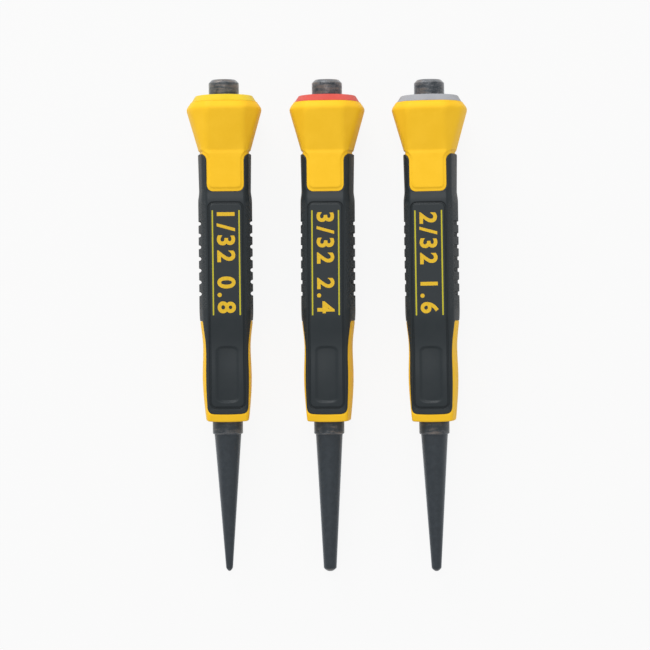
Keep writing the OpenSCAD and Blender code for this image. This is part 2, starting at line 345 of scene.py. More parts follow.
@dataclass(frozen=True)
class GripRubber:
    """Matte moulded rubber, grained on the barrel's sides, with painted shade down in its panel groove."""

    name: str = "grip_rubber"
    colour: Rgb = (0.0085, 0.0148, 0.0188)
    worn: Rgb = (0.036, 0.042, 0.045)
    # Colour of the painted shade in the panel groove.
    groove_shade: Rgb = (0.003, 0.005, 0.006)
    roughness: float = 0.47
    texture: float = 0.9
    texture_mm: float = 0.15
    gloss: float = 0.42
    ior: float = 1.5
    cloud_scale: float = 0.3
    pebble_scale: float = 2.3
    fine_scale: float = 6.0

    def material(self) -> bpy.types.Material:
        """Makes the material.

        Returns:
            The material.
        """
        paint = Paint(self.name)
        grained, sunk = paint.mask("grained"), paint.mask("sunk")
        clouds = paint.noise(self.cloud_scale, 4.0, 0.6)
        fine = paint.noise(self.fine_scale, 2.0, 0.65)
        pebble = paint.smooth(paint.cells(self.pebble_scale), 0.1, 0.62)
        speck = paint.smooth(fine, 0.42, 0.66)
        bloom = grained * (0.32 + speck * 0.55) + (clouds - 0.35) * 0.3
        # Painted shade: the sunk mask darkens the colour along the panel groove's edges.
        colour = paint.mix(sunk, paint.mix(bloom, self.colour, self.worn), self.groove_shade)
        rough = self.roughness + grained * 0.17 + (clouds - 0.5) * 0.12 + sunk * 0.2
        height = fine * 0.06 + grained * (pebble * 0.9 + fine * 0.6)
        normal = paint.bump(height, self.texture, self.texture_mm)
        fixed = {"IOR": self.ior, "Specular IOR Level": self.gloss}
        return paint.finish(fixed, {"Base Color": colour, "Roughness": rough, "Normal": normal})


@dataclass(frozen=True)
class BlackSteel:
    """Steel under a dark oxide, with turning marks, mottled, rubbed bare on the strike end and the tip, and
    lighter towards the collar's lower edge.
    """

    name: str = "punch_steel"
    colour: Rgb = (0.021, 0.0295, 0.038)
    dark: Rgb = (0.013, 0.02, 0.027)
    bare: Rgb = (0.27, 0.275, 0.29)
    brown: Rgb = (0.23, 0.2, 0.18)
    roughness: float = 0.43
    texture: float = 0.35
    texture_mm: float = 0.03
    ior: float = 1.5
    sheen: float = 0.7
    sheen_roughness: float = 0.35
    sheen_tint: Rgb = (0.85, 0.92, 1.0)
    mottle_scale: float = 0.75
    fine_scale: float = 4.5
    streak_scale: float = 1.5
    streak_length: float = 5.0
    turning_pitch: float = 0.34

    def material(self) -> bpy.types.Material:
        """Makes the material.

        Returns:
            The material.
        """
        paint = Paint(self.name)
        rubbed, height_mm = paint.mask("rubbed"), paint.mask("own_height")
        mottle = paint.noise(self.mottle_scale, 5.0, 0.65, 0.4)
        fine = paint.noise(self.fine_scale, 3.0, 0.65)
        streak = paint.streaks(self.streak_scale, self.streak_length)
        oxide = paint.mix(paint.smooth(mottle * 0.7 + fine * 0.3, 0.36, 0.64), self.dark, self.colour)
        chance = rubbed * 0.75 + (mottle - 0.5) * 0.6 + (streak - 0.5) * 1.1 + (fine - 0.5) * 0.6
        scuff = paint.smooth(chance, 0.3, 0.95)
        worn = paint.mix(paint.smooth(streak, 0.45, 0.62), self.bare, self.brown)
        turning = (height_mm * (2 * math.pi / self.turning_pitch) + mottle * 3.0).math("SINE") * 0.5 + 0.5
        marks = turning * 0.25 + fine * 0.6 + mottle * 0.3
        varied = {
            "Base Color": paint.mix(scuff, oxide, worn),
            "Roughness": self.roughness + (mottle - 0.5) * 0.3 - scuff * 0.08,
            "Metallic": scuff * 0.9,
            "Normal": paint.bump(marks, self.texture, self.texture_mm),
        }
        fixed = {
            "IOR": self.ior,
            "Sheen Weight": self.sheen,
            "Sheen Roughness": self.sheen_roughness,
            "Sheen Tint": (*self.sheen_tint, 1.0),
        }
        return paint.finish(fixed, varied)


@dataclass(frozen=True)
class PrintInk:
    """Pad printing ink, slightly uneven over the rubber."""

    name: str = "print_ink"
    colour: Rgb = (0.76, 0.475, 0.026)
    thin: Rgb = (0.6, 0.38, 0.026)
    line: Rgb = (0.52, 0.47, 0.03)
    roughness: float = 0.42
    texture: float = 0.2
    texture_mm: float = 0.02
    gloss: float = 0.2
    ior: float = 1.45
    fine_scale: float = 3.2

    def material(self) -> bpy.types.Material:
        """Makes the material.

        Returns:
            The material.
        """
        paint = Paint(self.name)
        fine = paint.noise(self.fine_scale, 3.0, 0.6)
        figures = paint.mix(paint.smooth(fine, 0.3, 0.55), self.thin, self.colour)
        varied = {
            "Base Color": paint.mix(paint.mask("stripe"), figures, self.line),
            "Roughness": self.roughness + fine * 0.16,
            "Normal": paint.bump(fine, self.texture, self.texture_mm),
        }
        return paint.finish({"IOR": self.ior, "Specular IOR Level": self.gloss}, varied)


def unit(vectors: np.ndarray) -> np.ndarray:
    """Vectors of length 1 in the same directions."""
    return vectors / np.linalg.norm(vectors, axis=-1, keepdims=True)


def bell(values: np.ndarray, middle: float, reach: float) -> np.ndarray:
    """Bell of height 1 round a middle."""
    return np.exp(-(((values - middle) / reach) ** 2))


def round_join(first: np.ndarray, second: np.ndarray, radius: float) -> np.ndarray:
    """Signed distance of two areas together, with a round inside corner; negative is inside."""
    bend = np.hypot(np.maximum(radius - first, 0), np.maximum(radius - second, 0))
    return np.maximum(radius, np.minimum(first, second)) - bend


def round_meet(first: np.ndarray, second: np.ndarray, radius: float) -> np.ndarray:
    """Signed distance of what two areas share, with a round outside corner; negative is inside."""
    bend = np.hypot(np.maximum(radius + first, 0), np.maximum(radius + second, 0))
    return np.minimum(-radius, np.maximum(first, second)) + bend


def smooth_step(value: np.ndarray, low: float, high: float) -> np.ndarray:
    """Smooth step of a value from 0 at low to 1 at high."""
    share = np.clip((value - low) / (high - low), 0, 1)
    return share * share * (3 - 2 * share)


def blurred(values: np.ndarray, reach: float) -> np.ndarray:
    """Evens values out by a bell.

    Args:
        values: the values, in equal steps.
        reach: the bell's standard deviation in steps.

    Returns:
        The values, evened out.
    """
    wide = int(4 * reach)
    weights = np.exp(-0.5 * (np.arange(-wide, wide + 1) / reach) ** 2)
    return np.convolve(values, weights / weights.sum(), mode="same")


def graded(
    start: float, stop: float, coarse: float, fine: Iterable[tuple[float, float, float]]
) -> np.ndarray:
    """Heights that stand closer together in some stretches.

    Args:
        start: first height.
        stop: last height.
        coarse: usual distance.
        fine: stretches as (low, high, distance).

    Returns:
        The heights, upwards.
    """
    stretches = list(fine)
    heights = [start]
    while heights[-1] < stop - TINY:
        here = heights[-1] + TINY
        step = min([coarse] + [s for low, high, s in stretches if low <= here < high])
        ahead = [low for low, _, _ in stretches if here < low < here + step]
        heights.append(min([heights[-1] + step, stop, *ahead]))
    return np.array(heights)


def filleted(corners: Sequence[tuple[float, float, float]], steps: int = 5) -> np.ndarray:
    """Rounds the corners of a line.

    Args:
        corners: points as (radius from the axis, height, fillet).
        steps: steps round a fillet.

    Returns:
        The line's points as (radius, height).
    """
    made: list[np.ndarray] = []
    points = [np.array(c[:2]) for c in corners]
    for i, here in enumerate(points):
        fillet = corners[i][2]
        if fillet <= 0 or i in (0, len(points) - 1):
            made.append(here)
            continue
        back, on = unit(points[i - 1] - here), unit(points[i + 1] - here)
        half_angle = math.acos(np.clip(back @ on, -1, 1)) / 2
        reach = fillet / math.tan(half_angle)
        centre = here + unit(back + on) * fillet / math.sin(half_angle)
        start, end = here + back * reach - centre, here + on * reach - centre
        sweep = math.pi - 2 * half_angle
        for angle in np.linspace(0, sweep, steps + 1):
            turned = start * math.sin(sweep - angle) + end * math.sin(angle)
            made.append(centre + turned / math.sin(sweep))
    return np.array(made)


@dataclass(frozen=True)
class HandleSizes:
    """Heights above the tip and half widths across the flats of a handle, and what its pieces share."""

    foot_z: float = 39.6
    grip_z0: float = 41.6
    swell_z: float = 51.5
    waist_z: float = 59.0
    barrel_z0: float = 69.0
    barrel_z1: float = 98.2
    ear_z0: float = 100.1
    grip_z1: float = 110.2
    flare_z0: float = 111.1
    flare_z1: float = 122.2
    guard_z1: float = 123.88
    ring_z1: float = 125.7
    foot_half: float = 5.65
    foot_taper: float = 0.2
    tail_half: float = 5.87
    swell_half: float = 6.53
    waist_half: float = 6.32
    barrel_half: float = 7.13
    ear_root_half: float = 6.84
    ear_half: float = 7.05
    flare_foot_half: float = 6.86
    guard_half: float = 10.04
    ring_half: float = 8.8
    ring_step: float = 0.15
    ring_top_r: float = 7.55
    flat_half: float = 4.9
    least_over: float = 0.02
    side_crown: float = 0.4
    side_crown_most: float = 0.95
    overrun: float = 2.0
    softness: float = 0.38
    crease_softness: float = 0.18
    crease_reach: tuple[float, float] = (0.7, 1.8)
    guard_softness: float = 0.42
    guard_reach: tuple[float, float] = (4.0, 2.5)
    grip_corner: float = 1.0
    guard_corner: float = 2.6
    shoulder_corner: float = 4.2
    flank_corner: float = 1.6
    corner_share: float = 0.44
    guard_crown: float = 0.1
    sleeve_r: float = 5.0
    bore_r: float = 4.03
    fit_gap: float = 0.03
    hub_r: float = 5.7
    hub_h: float = 2.4
    groove_z: tuple[float, ...] = (53.6, 73.6, 93.6)
    groove_w: float = 2.0
    groove_depth: float = 0.4

    def outline(self, heights: np.ndarray) -> np.ndarray:
        """Half width of the handle at some heights, with softened edges.

        Args:
            heights: heights above the tip.

        Returns:
            Half widths across the flats.
        """
        share = np.linspace(0, 1, 25)[:-1]
        ease, swelling = (1 - np.cos(np.pi * share)) / 2, np.sin(np.pi / 2 * share)
        knots = [(self.foot_z - self.overrun, self.foot_half - self.foot_taper)]
        curves = (
            (self.grip_z0, self.tail_half, self.swell_z, self.swell_half, swelling),
            (self.swell_z, self.swell_half, self.waist_z, self.waist_half, ease),
            (self.waist_z, self.waist_half, self.barrel_z0, self.barrel_half, ease),
        )
        for z0, half0, z1, half1, way in curves:
            knots += zip(z0 + (z1 - z0) * share, half0 + (half1 - half0) * way)
        drop = self.overrun * (self.guard_half - self.ring_half) / (self.guard_z1 - self.flare_z1)
        knots += [
            (self.barrel_z0, self.barrel_half),
            (self.barrel_z1, self.barrel_half),
            (self.ear_z0, self.ear_root_half),
            (self.grip_z1, self.ear_half),
            (self.flare_z0, self.flare_foot_half),
            (self.flare_z1, self.guard_half),
            (self.guard_z1, self.ring_half),
            (self.guard_z1 + self.overrun, self.ring_half - drop),
        ]
        step = 0.02
        line = np.arange(knots[0][0], knots[-1][0], step)
        sharp = np.interp(line, *np.array(knots).T)
        soft = blurred(sharp, self.softness / step)
        crease = 1 - smooth_step(np.abs(line - self.flare_z0), *self.crease_reach)
        guard = smooth_step(line, *(self.flare_z1 - reach for reach in self.guard_reach))
        for softness, amount in ((self.crease_softness, crease), (self.guard_softness, guard)):
            soft += (blurred(sharp, softness / step) - soft) * amount
        return np.interp(heights, line, soft)

    def grooves(self, radius: float) -> list[tuple[float, float]]:
        """Retaining grooves of the shank, which the core fills.

        Args:
            radius: radius of the shank or of the bore.

        Returns:
            The line's points as (radius, height), upwards.
        """
        half, floor_half = self.groove_w / 2, self.groove_w / 2 - self.groove_depth
        floor_r = radius - self.groove_depth
        corners = ((radius, -half), (floor_r, -floor_half), (floor_r, floor_half), (radius, half))
        return [(r, z + up) for z in self.groove_z for r, up in corners]


def arc(x: Values, y: Values, radius: Values, angle: Values) -> tuple[np.ndarray, np.ndarray]:
    """The x and y of points on an arc round a middle."""
    return x + radius * np.cos(angle), y + radius * np.sin(angle)


class Run(Enum):
    """Runs of a quarter of the section, from the middle of a side to the middle of the back."""

    SIDE = 0
    FLANK_CORNER = 1
    SLANT = 2
    CORNER = 3
    FLAT = 4


@dataclass(frozen=True)
class Columns:
    """Lines that run along a handle, by their places in a quarter of the section and the quarter's signs."""

    run: np.ndarray
    share: np.ndarray
    sign_x: np.ndarray
    sign_y: np.ndarray

    @classmethod
    def spread(cls, flat_stops: Sequence[float], steps: Sequence[int]) -> "Columns":
        """Spreads lines over the section, counterclockwise from the middle of the front.

        Args:
            flat_stops: places on the front and back faces, from 0 in the middle to 1 at the end.
            steps: steps on half a side, its corner, the slanting face and the front corner.

        Returns:
            The columns.
        """
        quarter = [(Run.SIDE.value, 0.0)]
        for run, count in enumerate(steps):
            quarter += [(run, k / count) for k in range(1, count + 1)]
        quarter += [(Run.FLAT.value, 1 - stop) for stop in sorted(flat_stops, reverse=True)[1:]]
        back = quarter[::-1]
        made = [(*q, 1, -1) for q in back] + [(*q, 1, 1) for q in quarter[1:]]
        made += [(*q, -1, 1) for q in back[1:]] + [(*q, -1, -1) for q in quarter[1:-1]]
        return cls(*np.array(made, float).T)

    def section(
        self,
        half: np.ndarray,
        sizes: HandleSizes,
        corner: Values,
        crown: Values = 0.0,
    ) -> np.ndarray:
        """Points of the section, row by row.

        Args:
            half: half width of each row.
            sizes: the handle's sizes.
            corner: radius of each row's front corners.
            crown: bulge of each row's front and back faces.

        Returns:
            An array of rows, columns and x, y.
        """
        rows, flat, root = len(half), sizes.flat_half, math.sqrt(2)
        half, corner, crown = (np.broadcast_to(v, rows)[:, None] for v in (half, corner, crown))
        over = np.maximum(half - flat, sizes.least_over)
        bulge = np.minimum(sizes.side_crown * over, sizes.side_crown_most)
        side_r = ((flat + bulge) ** 2 + bulge**2) / (2 * bulge)
        room = sizes.corner_share * root * (over - bulge)
        front_r = np.minimum(corner, room / CORNER_TAN)
        tilt = np.arcsin((flat + bulge) / side_r)
        flank_r = np.minimum(corner * sizes.flank_corner, room / np.tan((EIGHTH - tilt) / 2))
        turn = EIGHTH - np.arccos((side_r + flat - root * flank_r) / (root * (side_r - flank_r)))
        flank_x = half - side_r + (side_r - flank_r) * np.cos(turn)
        flank_y = (side_r - flank_r) * np.sin(turn)
        front_x, front_y = flat - CORNER_TAN * front_r, half - front_r
        s = self.share[None, :]
        low, high = arc(flank_x, flank_y, flank_r, EIGHTH), arc(front_x, front_y, front_r, EIGHTH)
        flank_turn, corner_turn = turn + (EIGHTH - turn) * s, EIGHTH * (1 + s)
        flat_x = front_x * (1 - s)
        runs = {
            Run.SIDE: arc(half - side_r, 0.0, side_r, turn * s),
            Run.FLANK_CORNER: arc(flank_x, flank_y, flank_r, flank_turn),
            Run.SLANT: tuple(a + (b - a) * s for a, b in zip(low, high)),
            Run.CORNER: arc(front_x, front_y, front_r, corner_turn),
            Run.FLAT: (flat_x, half + crown * (1 - (flat_x / front_x) ** 2)),
        }
        picked = [self.run[None, :] == r.value for r in runs]
        shape = (rows, s.shape[1])
        x, y = (np.select(picked, [np.broadcast_to(p[k], shape) for p in runs.values()]) for k in (0, 1))
        return np.stack([x * self.sign_x, y * self.sign_y], axis=-1)


def with_height(section: np.ndarray, heights: np.ndarray) -> np.ndarray:
    """Adds each row's height to a section's points."""
    z = np.broadcast_to(np.asarray(heights, float)[:, None, None], (*section.shape[:2], 1))
    return np.concatenate([section, z], axis=-1)


def on_cylinder(points: np.ndarray, radius: float) -> np.ndarray:
    """Moves points straight towards the axis, on to a cylinder round it."""
    return np.concatenate([unit(points[..., :2]) * radius, points[..., 2:]], axis=-1)


def circle(row: np.ndarray, radius: float, z: float) -> np.ndarray:
    """One row of a loft drawn to a circle at a height."""
    return with_height(on_cylinder(row, radius)[..., :2], np.array([z]))


def grid_normals(points: np.ndarray) -> np.ndarray:
    """Outward normals of a grid of points whose columns close round."""
    around = np.roll(points, -1, axis=1) - np.roll(points, 1, axis=1)
    return unit(np.cross(around, np.gradient(points, axis=0)))


@dataclass(frozen=True)
class MouldLine:
    """Line where the soft grip meets the rigid core, as signed distances that are positive on the grip."""

    sizes: HandleSizes
    tongue_half: float = 5.04
    tongue_z0: float = 100.25
    tongue_r: float = 1.9
    ear_r: float = 1.9
    band_shift: float = -0.08
    band_top_z: float = 66.2
    band_top_half: float = 5.0
    band_spread: float = 0.257
    band_side_r: float = 2.0
    band_r: float = 0.7
    tail_r: float = 1.8
    tail_bow: float = 0.25
    least_slope: float = 0.3

    def upper(self, p: np.ndarray) -> np.ndarray:
        """Distance from the guard and its tongues.

        Args:
            p: points.

        Returns:
            Their distances.
        """
        x, z = np.abs(p[..., 0]), p[..., 2]
        tongue = round_meet(x - self.tongue_half, self.tongue_z0 - z, self.tongue_r)
        return round_join(tongue, self.sizes.grip_z1 - z, self.ear_r)

    def lower(self, p: np.ndarray) -> np.ndarray:
        """Distance from the foot and its side bands.

        Args:
            p: points.

        Returns:
            Their distances.
        """
        x, y, z = np.abs(p[..., 0]), np.abs(p[..., 1]), p[..., 2]
        wedge = (y - x - self.band_shift) / math.sqrt(2)
        edge = y - self.band_top_half - (self.band_top_z - z) * self.band_spread
        side = round_meet(wedge, edge / math.hypot(1, self.band_spread), self.band_side_r)
        band = round_meet(side, z - self.band_top_z, self.band_r)
        tail = z - self.sizes.grip_z0 - self.tail_bow * (x / self.sizes.tail_half) ** 2
        return round_join(band, tail, self.tail_r)

    def distance(self, p: np.ndarray) -> np.ndarray:
        """Distance from the whole core."""
        return np.minimum(self.upper(p), self.lower(p))

    def on_surface(self, points: np.ndarray, normals: np.ndarray) -> tuple[np.ndarray, np.ndarray]:
        """Distances measured along a surface.

        Args:
            points: points of the surface.
            normals: its normals there.

        Returns:
            The distances, and the direction along the surface in which they grow.
        """
        nudge = 1e-3
        ends = [[self.distance(points + way * axis) for axis in np.eye(3)] for way in (nudge, -nudge)]
        slope = np.stack([(on - back) / (2 * nudge) for on, back in zip(*ends)], axis=-1)
        slope = slope - normals * np.sum(slope * normals, axis=-1, keepdims=True)
        steepness = np.maximum(np.linalg.norm(slope, axis=-1), self.least_slope)
        return self.distance(points) / steepness, slope / steepness[..., None]


class CutGrid:
    """Cells of a grid whose columns close round, cut along a level line of a field."""

    LEAST = 1e-5
    MARGIN = 0.03

    def __init__(self, values: np.ndarray, level: float, closed_rows: bool = False) -> None:
        """Cuts the cells.

        Args:
            values: the field, by row and column.
            level: the level of the cut.
            closed_rows: True if the last row joins the first.
        """
        self.rows, self.cols = values.shape
        lifted = values - level
        self.values = np.where(np.abs(lifted) < self.LEAST, self.LEAST, lifted)
        above = self.values > 0
        right = np.roll(above, -1, axis=1)
        count = above.astype(int) + right + np.roll(above, -1, axis=0) + np.roll(right, -1, axis=0)
        if not closed_rows:
            count = count[:-1]
        self.full_above, self.full_below = count == 4, count == 0
        self.mixed = ~(self.full_above | self.full_below)
        self.cuts: list[tuple[int, int, float]] = []
        self.cut_ids: dict[tuple[int, int], int] = {}
        self.above: Faces = []
        self.below: Faces = []
        self.rim: list[tuple[int, int]] = []
        for i, j in np.argwhere(self.mixed):
            self._cut_cell(int(i), int(j))

    def vertex(self, i: int, j: int) -> int:
        """Number of a grid vertex."""
        return (i % self.rows) * self.cols + j % self.cols

    def _cut(self, a: int, b: int) -> int:
        """Cuts an edge where the level line crosses it, once.

        Args:
            a: number of the vertex at one end.
            b: number of the vertex at the other end.

        Returns:
            Number of the cut's own vertex.
        """
        key = (min(a, b), max(a, b))
        if key not in self.cut_ids:
            low, high = (self.values.flat[k] for k in key)
            share = float(np.clip(low / (low - high), self.MARGIN, 1 - self.MARGIN))
            self.cut_ids[key] = self.rows * self.cols + len(self.cuts)
            self.cuts.append((*key, share))
        return self.cut_ids[key]

    def _cut_cell(self, i: int, j: int) -> None:
        """Adds the parts of one cell on both sides of the line.

        Args:
            i: the cell's row.
            j: the cell's column.
        """
        ring = [self.vertex(i + di, j + dj) for di, dj in ((0, 0), (0, 1), (1, 1), (1, 0))]
        signs = [self.values.flat[v] > 0 for v in ring]
        first_cut = self.rows * self.cols
        for side, faces in ((True, self.above), (False, self.below)):
            part: list[int] = []
            for k in range(4):
                if signs[k] == side:
                    part.append(ring[k])
                if signs[k] != signs[(k + 1) % 4]:
                    part.append(self._cut(ring[k], ring[(k + 1) % 4]))
            faces.append(part)
            if side:
                self.rim += [e for e in zip(part, part[1:] + part[:1]) if min(e) >= first_cut]

    def quads(self, full: np.ndarray) -> Faces:
        """Faces of whole cells.

        Args:
            full: the cells, as True by row and column.

        Returns:
            Their faces.
        """
        i, j = np.nonzero(full)
        low, up = i * self.cols, (i + 1) % self.rows * self.cols
        right = (j + 1) % self.cols
        return np.stack([low + j, low + right, up + right, up + j], axis=1).tolist()

    def strips(self, full: np.ndarray) -> Faces:
        """Faces of whole cells on a straight surface, joined along the columns.

        Args:
            full: the cells, as True by row and column.

        Returns:
            The faces, which meet the cut cells vertex to vertex.
        """
        kept = np.zeros((self.rows, self.cols), bool)
        for i, j in np.argwhere(self.mixed):
            kept[np.ix_([i, (i + 1) % self.rows], [j, (j + 1) % self.cols])] = True
        made: Faces = []
        for j in range(self.cols):
            run_edges = np.flatnonzero(np.diff(np.concatenate([[0], full[:, j].astype(int), [0]])))
            for start, stop in zip(run_edges[::2], run_edges[1::2]):
                chains = []
                for col in (j, (j + 1) % self.cols):
                    inner = [k for k in range(start + 1, stop) if kept[k % self.rows, col]]
                    chains.append([(k, self.vertex(k, col)) for k in [start, *inner, stop]])
                made += zipped(*chains)
        return made

    def spread(self, grid: np.ndarray) -> np.ndarray:
        """Carries values over to the cuts.

        Args:
            grid: values by row and column.

        Returns:
            The values at the grid's vertices, followed by those at the cuts.
        """
        flat = grid.reshape(self.rows * self.cols, -1)
        ends = np.array([c[:2] for c in self.cuts])
        share = np.array([c[2] for c in self.cuts])[:, None]
        return np.concatenate([flat, flat[ends[:, 0]] * (1 - share) + flat[ends[:, 1]] * share])


def zipped(left: list[tuple[int, int]], right: list[tuple[int, int]]) -> Faces:
    """Closes the strip between two chains that start and end at the same rows.

    Args:
        left: the left chain as (row, vertex).
        right: the right chain as (row, vertex).

    Returns:
        The strip's faces.
    """
    made: Faces = []
    a = b = 0
    while a < len(left) - 1 or b < len(right) - 1:
        next_left = left[a + 1][0] if a < len(left) - 1 else math.inf
        next_right = right[b + 1][0] if b < len(right) - 1 else math.inf
        face = [left[a][1], right[b][1]]
        if next_right <= next_left:
            b += 1
            face.append(right[b][1])
        if next_left <= next_right:
            a += 1
            face.append(left[a][1])
        made.append(face)
    return made


def loft_faces(rows: int, cols: int, closed_rows: bool = False) -> Faces:
    """Faces of a whole grid whose columns close round, and its rows too where it says so."""
    grid = CutGrid(np.ones((rows, cols)), 0.0, closed_rows)
    return grid.quads(grid.full_above)


def paint_mask(mesh: bpy.types.Mesh, name: str, values: np.ndarray) -> None:
    """Paints a mask on a mesh's points."""
    mesh.attributes.new(name, "FLOAT", "POINT").data.foreach_set("value", values.astype(np.float32))


@dataclass
class Draft:
    """Points, faces and painted masks of a piece, in upright millimetres."""

    points: np.ndarray
    faces: Faces
    masks: dict[str, np.ndarray] = field(default_factory=dict)

    def mesh(self, name: str) -> bpy.types.Mesh:
        """Makes a mesh, without the points that no face uses.

        Args:
            name: the mesh's name.

        Returns:
            The mesh.
        """
        used = np.unique(np.concatenate([np.asarray(f) for f in self.faces]))
        number = np.full(len(self.points), -1)
        number[used] = np.arange(len(used))
        mesh = bpy.data.meshes.new(name)
        mesh.from_pydata(self.points[used].tolist(), [], [number[list(f)].tolist() for f in self.faces])
        for key, values in self.masks.items():
            paint_mask(mesh, key, values[used])
        mesh.validate()
        return mesh


def in_scene(name: str, data: bpy.types.ID) -> bpy.types.Object:
    """Makes an object and links it to the scene.

    Args:
        name: the object's name.
        data: its mesh, curve, light or camera.

    Returns:
        The object.
    """
    made = bpy.data.objects.new(name, data)
    bpy.context.scene.collection.objects.link(made)
    return made


def plain_mesh(holder: bpy.types.Object) -> bpy.types.Mesh:
    """Takes the mesh that an object evaluates to, and removes the object with its modifiers.

    Args:
        holder: the object.

    Returns:
        The plain mesh.
    """
    graph = bpy.context.evaluated_depsgraph_get()
    made = bpy.data.meshes.new_from_object(holder.evaluated_get(graph), depsgraph=graph)
    bpy.data.objects.remove(holder)
    return made


class Rule:
    """A Geometry Nodes tree with named inputs, which makes one mesh into another."""

    def __init__(self, name: str, sizes: dict[str, str]) -> None:
        """Starts the tree with its inputs.

        Args:
            name: the tree's name.
            sizes: kind of each number that it takes, by name.
        """
        self.tree = bpy.data.node_groups.new(name, "GeometryNodeTree")
        self.board = Board(self.tree)
        face = self.tree.interface
        for key, kind in {"Geometry": "Geometry", **sizes, "Material": "Material"}.items():
            face.new_socket(key, in_out="INPUT", socket_type=f"NodeSocket{kind}")
        face.new_socket("Geometry", in_out="OUTPUT", socket_type="NodeSocketGeometry")
        start = self.tree.nodes.new("NodeGroupInput")
        self.given = {s.name: Signal(self.board, s) for s in start.outputs if s.name}

    def apart(self, vector: Signal) -> list[Signal]:
        """The x, y and z of a vector."""
        first = self.board.node("ShaderNodeSeparateXYZ", {0: vector})
        return [first.other(k) for k in range(3)]

    def moved(self, shape: Signal, place: Signal) -> Signal:
        """A shape with its points moved to their places."""
        return self.board.node("GeometryNodeSetPosition", {"Geometry": shape, "Position": place})

    def end(self, shape: Signal) -> None:
        """Ends the tree in plain geometry of the given material.

        Args:
            shape: the geometry.
        """
        whole = self.board.node("GeometryNodeRealizeInstances", {"Geometry": shape})
        dressing = {"Geometry": whole, "Material": self.given["Material"]}
        self.board.node("NodeGroupOutput", {0: self.board.node("GeometryNodeSetMaterial", dressing)})

    def grow(self, mesh: bpy.types.Mesh, values: dict[str, Any]) -> bpy.types.Mesh:
        """Runs the tree on a mesh.

        Args:
            mesh: the mesh to start from, which is used up.
            values: the tree's inputs by name.

        Returns:
            The plain mesh that comes out.
        """
        holder = in_scene(f"{mesh.name}_draft", mesh)
        modifier = holder.modifiers.new("rule", "NODES")
        modifier.node_group = self.tree
        for item in self.tree.interface.items_tree:
            if item.in_out == "INPUT" and item.name in values:
                modifier[item.identifier] = values[item.name]
        made = plain_mesh(holder)
        bpy.data.meshes.remove(mesh)
        return made


class NotchRule(Rule):
    """Presses a row of round notches into both sides of a grip."""

    SIZES = ("First", "Pitch", "Count", "Radius", "Depth", "Inner", "Reach")
    ROUNDNESS = 0.6
    SIDE_EASE = 0.8
    END_EASE = 2.0

    def __init__(self) -> None:
        """Builds the tree."""
        super().__init__("side_notches", dict.fromkeys(self.SIZES, "Float"))
        board, given = self.board, self.given
        x, y, z = self.apart(board.node("GeometryNodeInputPosition"))
        turn = ((given["First"] - z) / given["Pitch"]).math("ROUND")
        turn = turn.math("MAXIMUM", 0.0).math("MINIMUM", given["Count"] - 1.0)
        share = (z - given["First"] + turn * given["Pitch"]) / given["Radius"]
        dip = (1.0 - share * share).math("MAXIMUM", 0.0).math("POWER", self.ROUNDNESS) * given["Depth"]
        outside = board.smooth(abs(x), given["Inner"], given["Inner"] + self.SIDE_EASE)
        across = 1.0 - board.smooth(abs(y), given["Reach"] - self.END_EASE, given["Reach"])
        kept = abs(x) - dip * outside * across
        place = board.node("ShaderNodeCombineXYZ", {0: kept * x.math("SIGN"), 1: y, 2: z})
        self.end(self.moved(given["Geometry"], place))


class LatheRule(Rule):
    """Turns a line of (radius, 0, height) points into a closed round piece."""

    SIZES = {"Points": "Int", "Around": "Int", "Weld": "Float"}

    def __init__(self) -> None:
        """Builds the tree."""
        super().__init__("turned_piece", self.SIZES)
        board, given = self.board, self.given
        around = given["Around"] + 1.0
        sheet = board.node("GeometryNodeMeshGrid", {"Vertices X": given["Points"], "Vertices Y": around})
        number = board.node("GeometryNodeInputIndex")
        row = ((number + 0.5) / around).math("FLOOR")
        angle = (number - row * around) * (-2 * math.pi) / given["Around"]
        line = board.node("GeometryNodeInputPosition")
        taken = {"Geometry": given["Geometry"], "Value": line, "Index": row}
        found = board.node("GeometryNodeSampleIndex", taken, data_type="FLOAT_VECTOR", domain="POINT")
        radius, _, height = self.apart(found)
        ring = {0: radius * angle.math("COSINE"), 1: radius * angle.math("SINE"), 2: height}
        turned = self.moved(sheet, board.node("ShaderNodeCombineXYZ", ring))
        welding = {"Geometry": turned, "Distance": given["Weld"]}
        self.end(board.node("GeometryNodeMergeByDistance", welding))


@dataclass
class Piece:
    """A finished piece: it takes the place of a CAD node, or rides along as an extra."""

    name: str
    mesh: bpy.types.Mesh
    material: bpy.types.Material
    slot: str
    replaces: tuple[str, ...] = ()
    sharp_deg: float = 40.0

    def place(self, setter: Setter) -> bpy.types.Object:
        """Lays the piece in the row and lets it ride on its setter's body.

        Args:
            setter: the setter that it belongs to.

        Returns:
            The piece's object.
        """
        self.mesh.name = self.name
        self.mesh.transform(setter.lay())
        self.mesh.materials.clear()
        self.mesh.materials.append(self.material)
        self.mesh.polygons.foreach_set("use_smooth", np.ones(len(self.mesh.polygons), bool))
        self.mesh.set_sharp_from_angle(angle=math.radians(self.sharp_deg))
        self.mesh.update()
        made = in_scene(self.name, self.mesh)
        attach(made, setter.body)
        if self.replaces:
            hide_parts(*self.replaces)
        LOG.info("%s: %d faces on %s", self.name, len(self.mesh.polygons), setter.body)
        return made


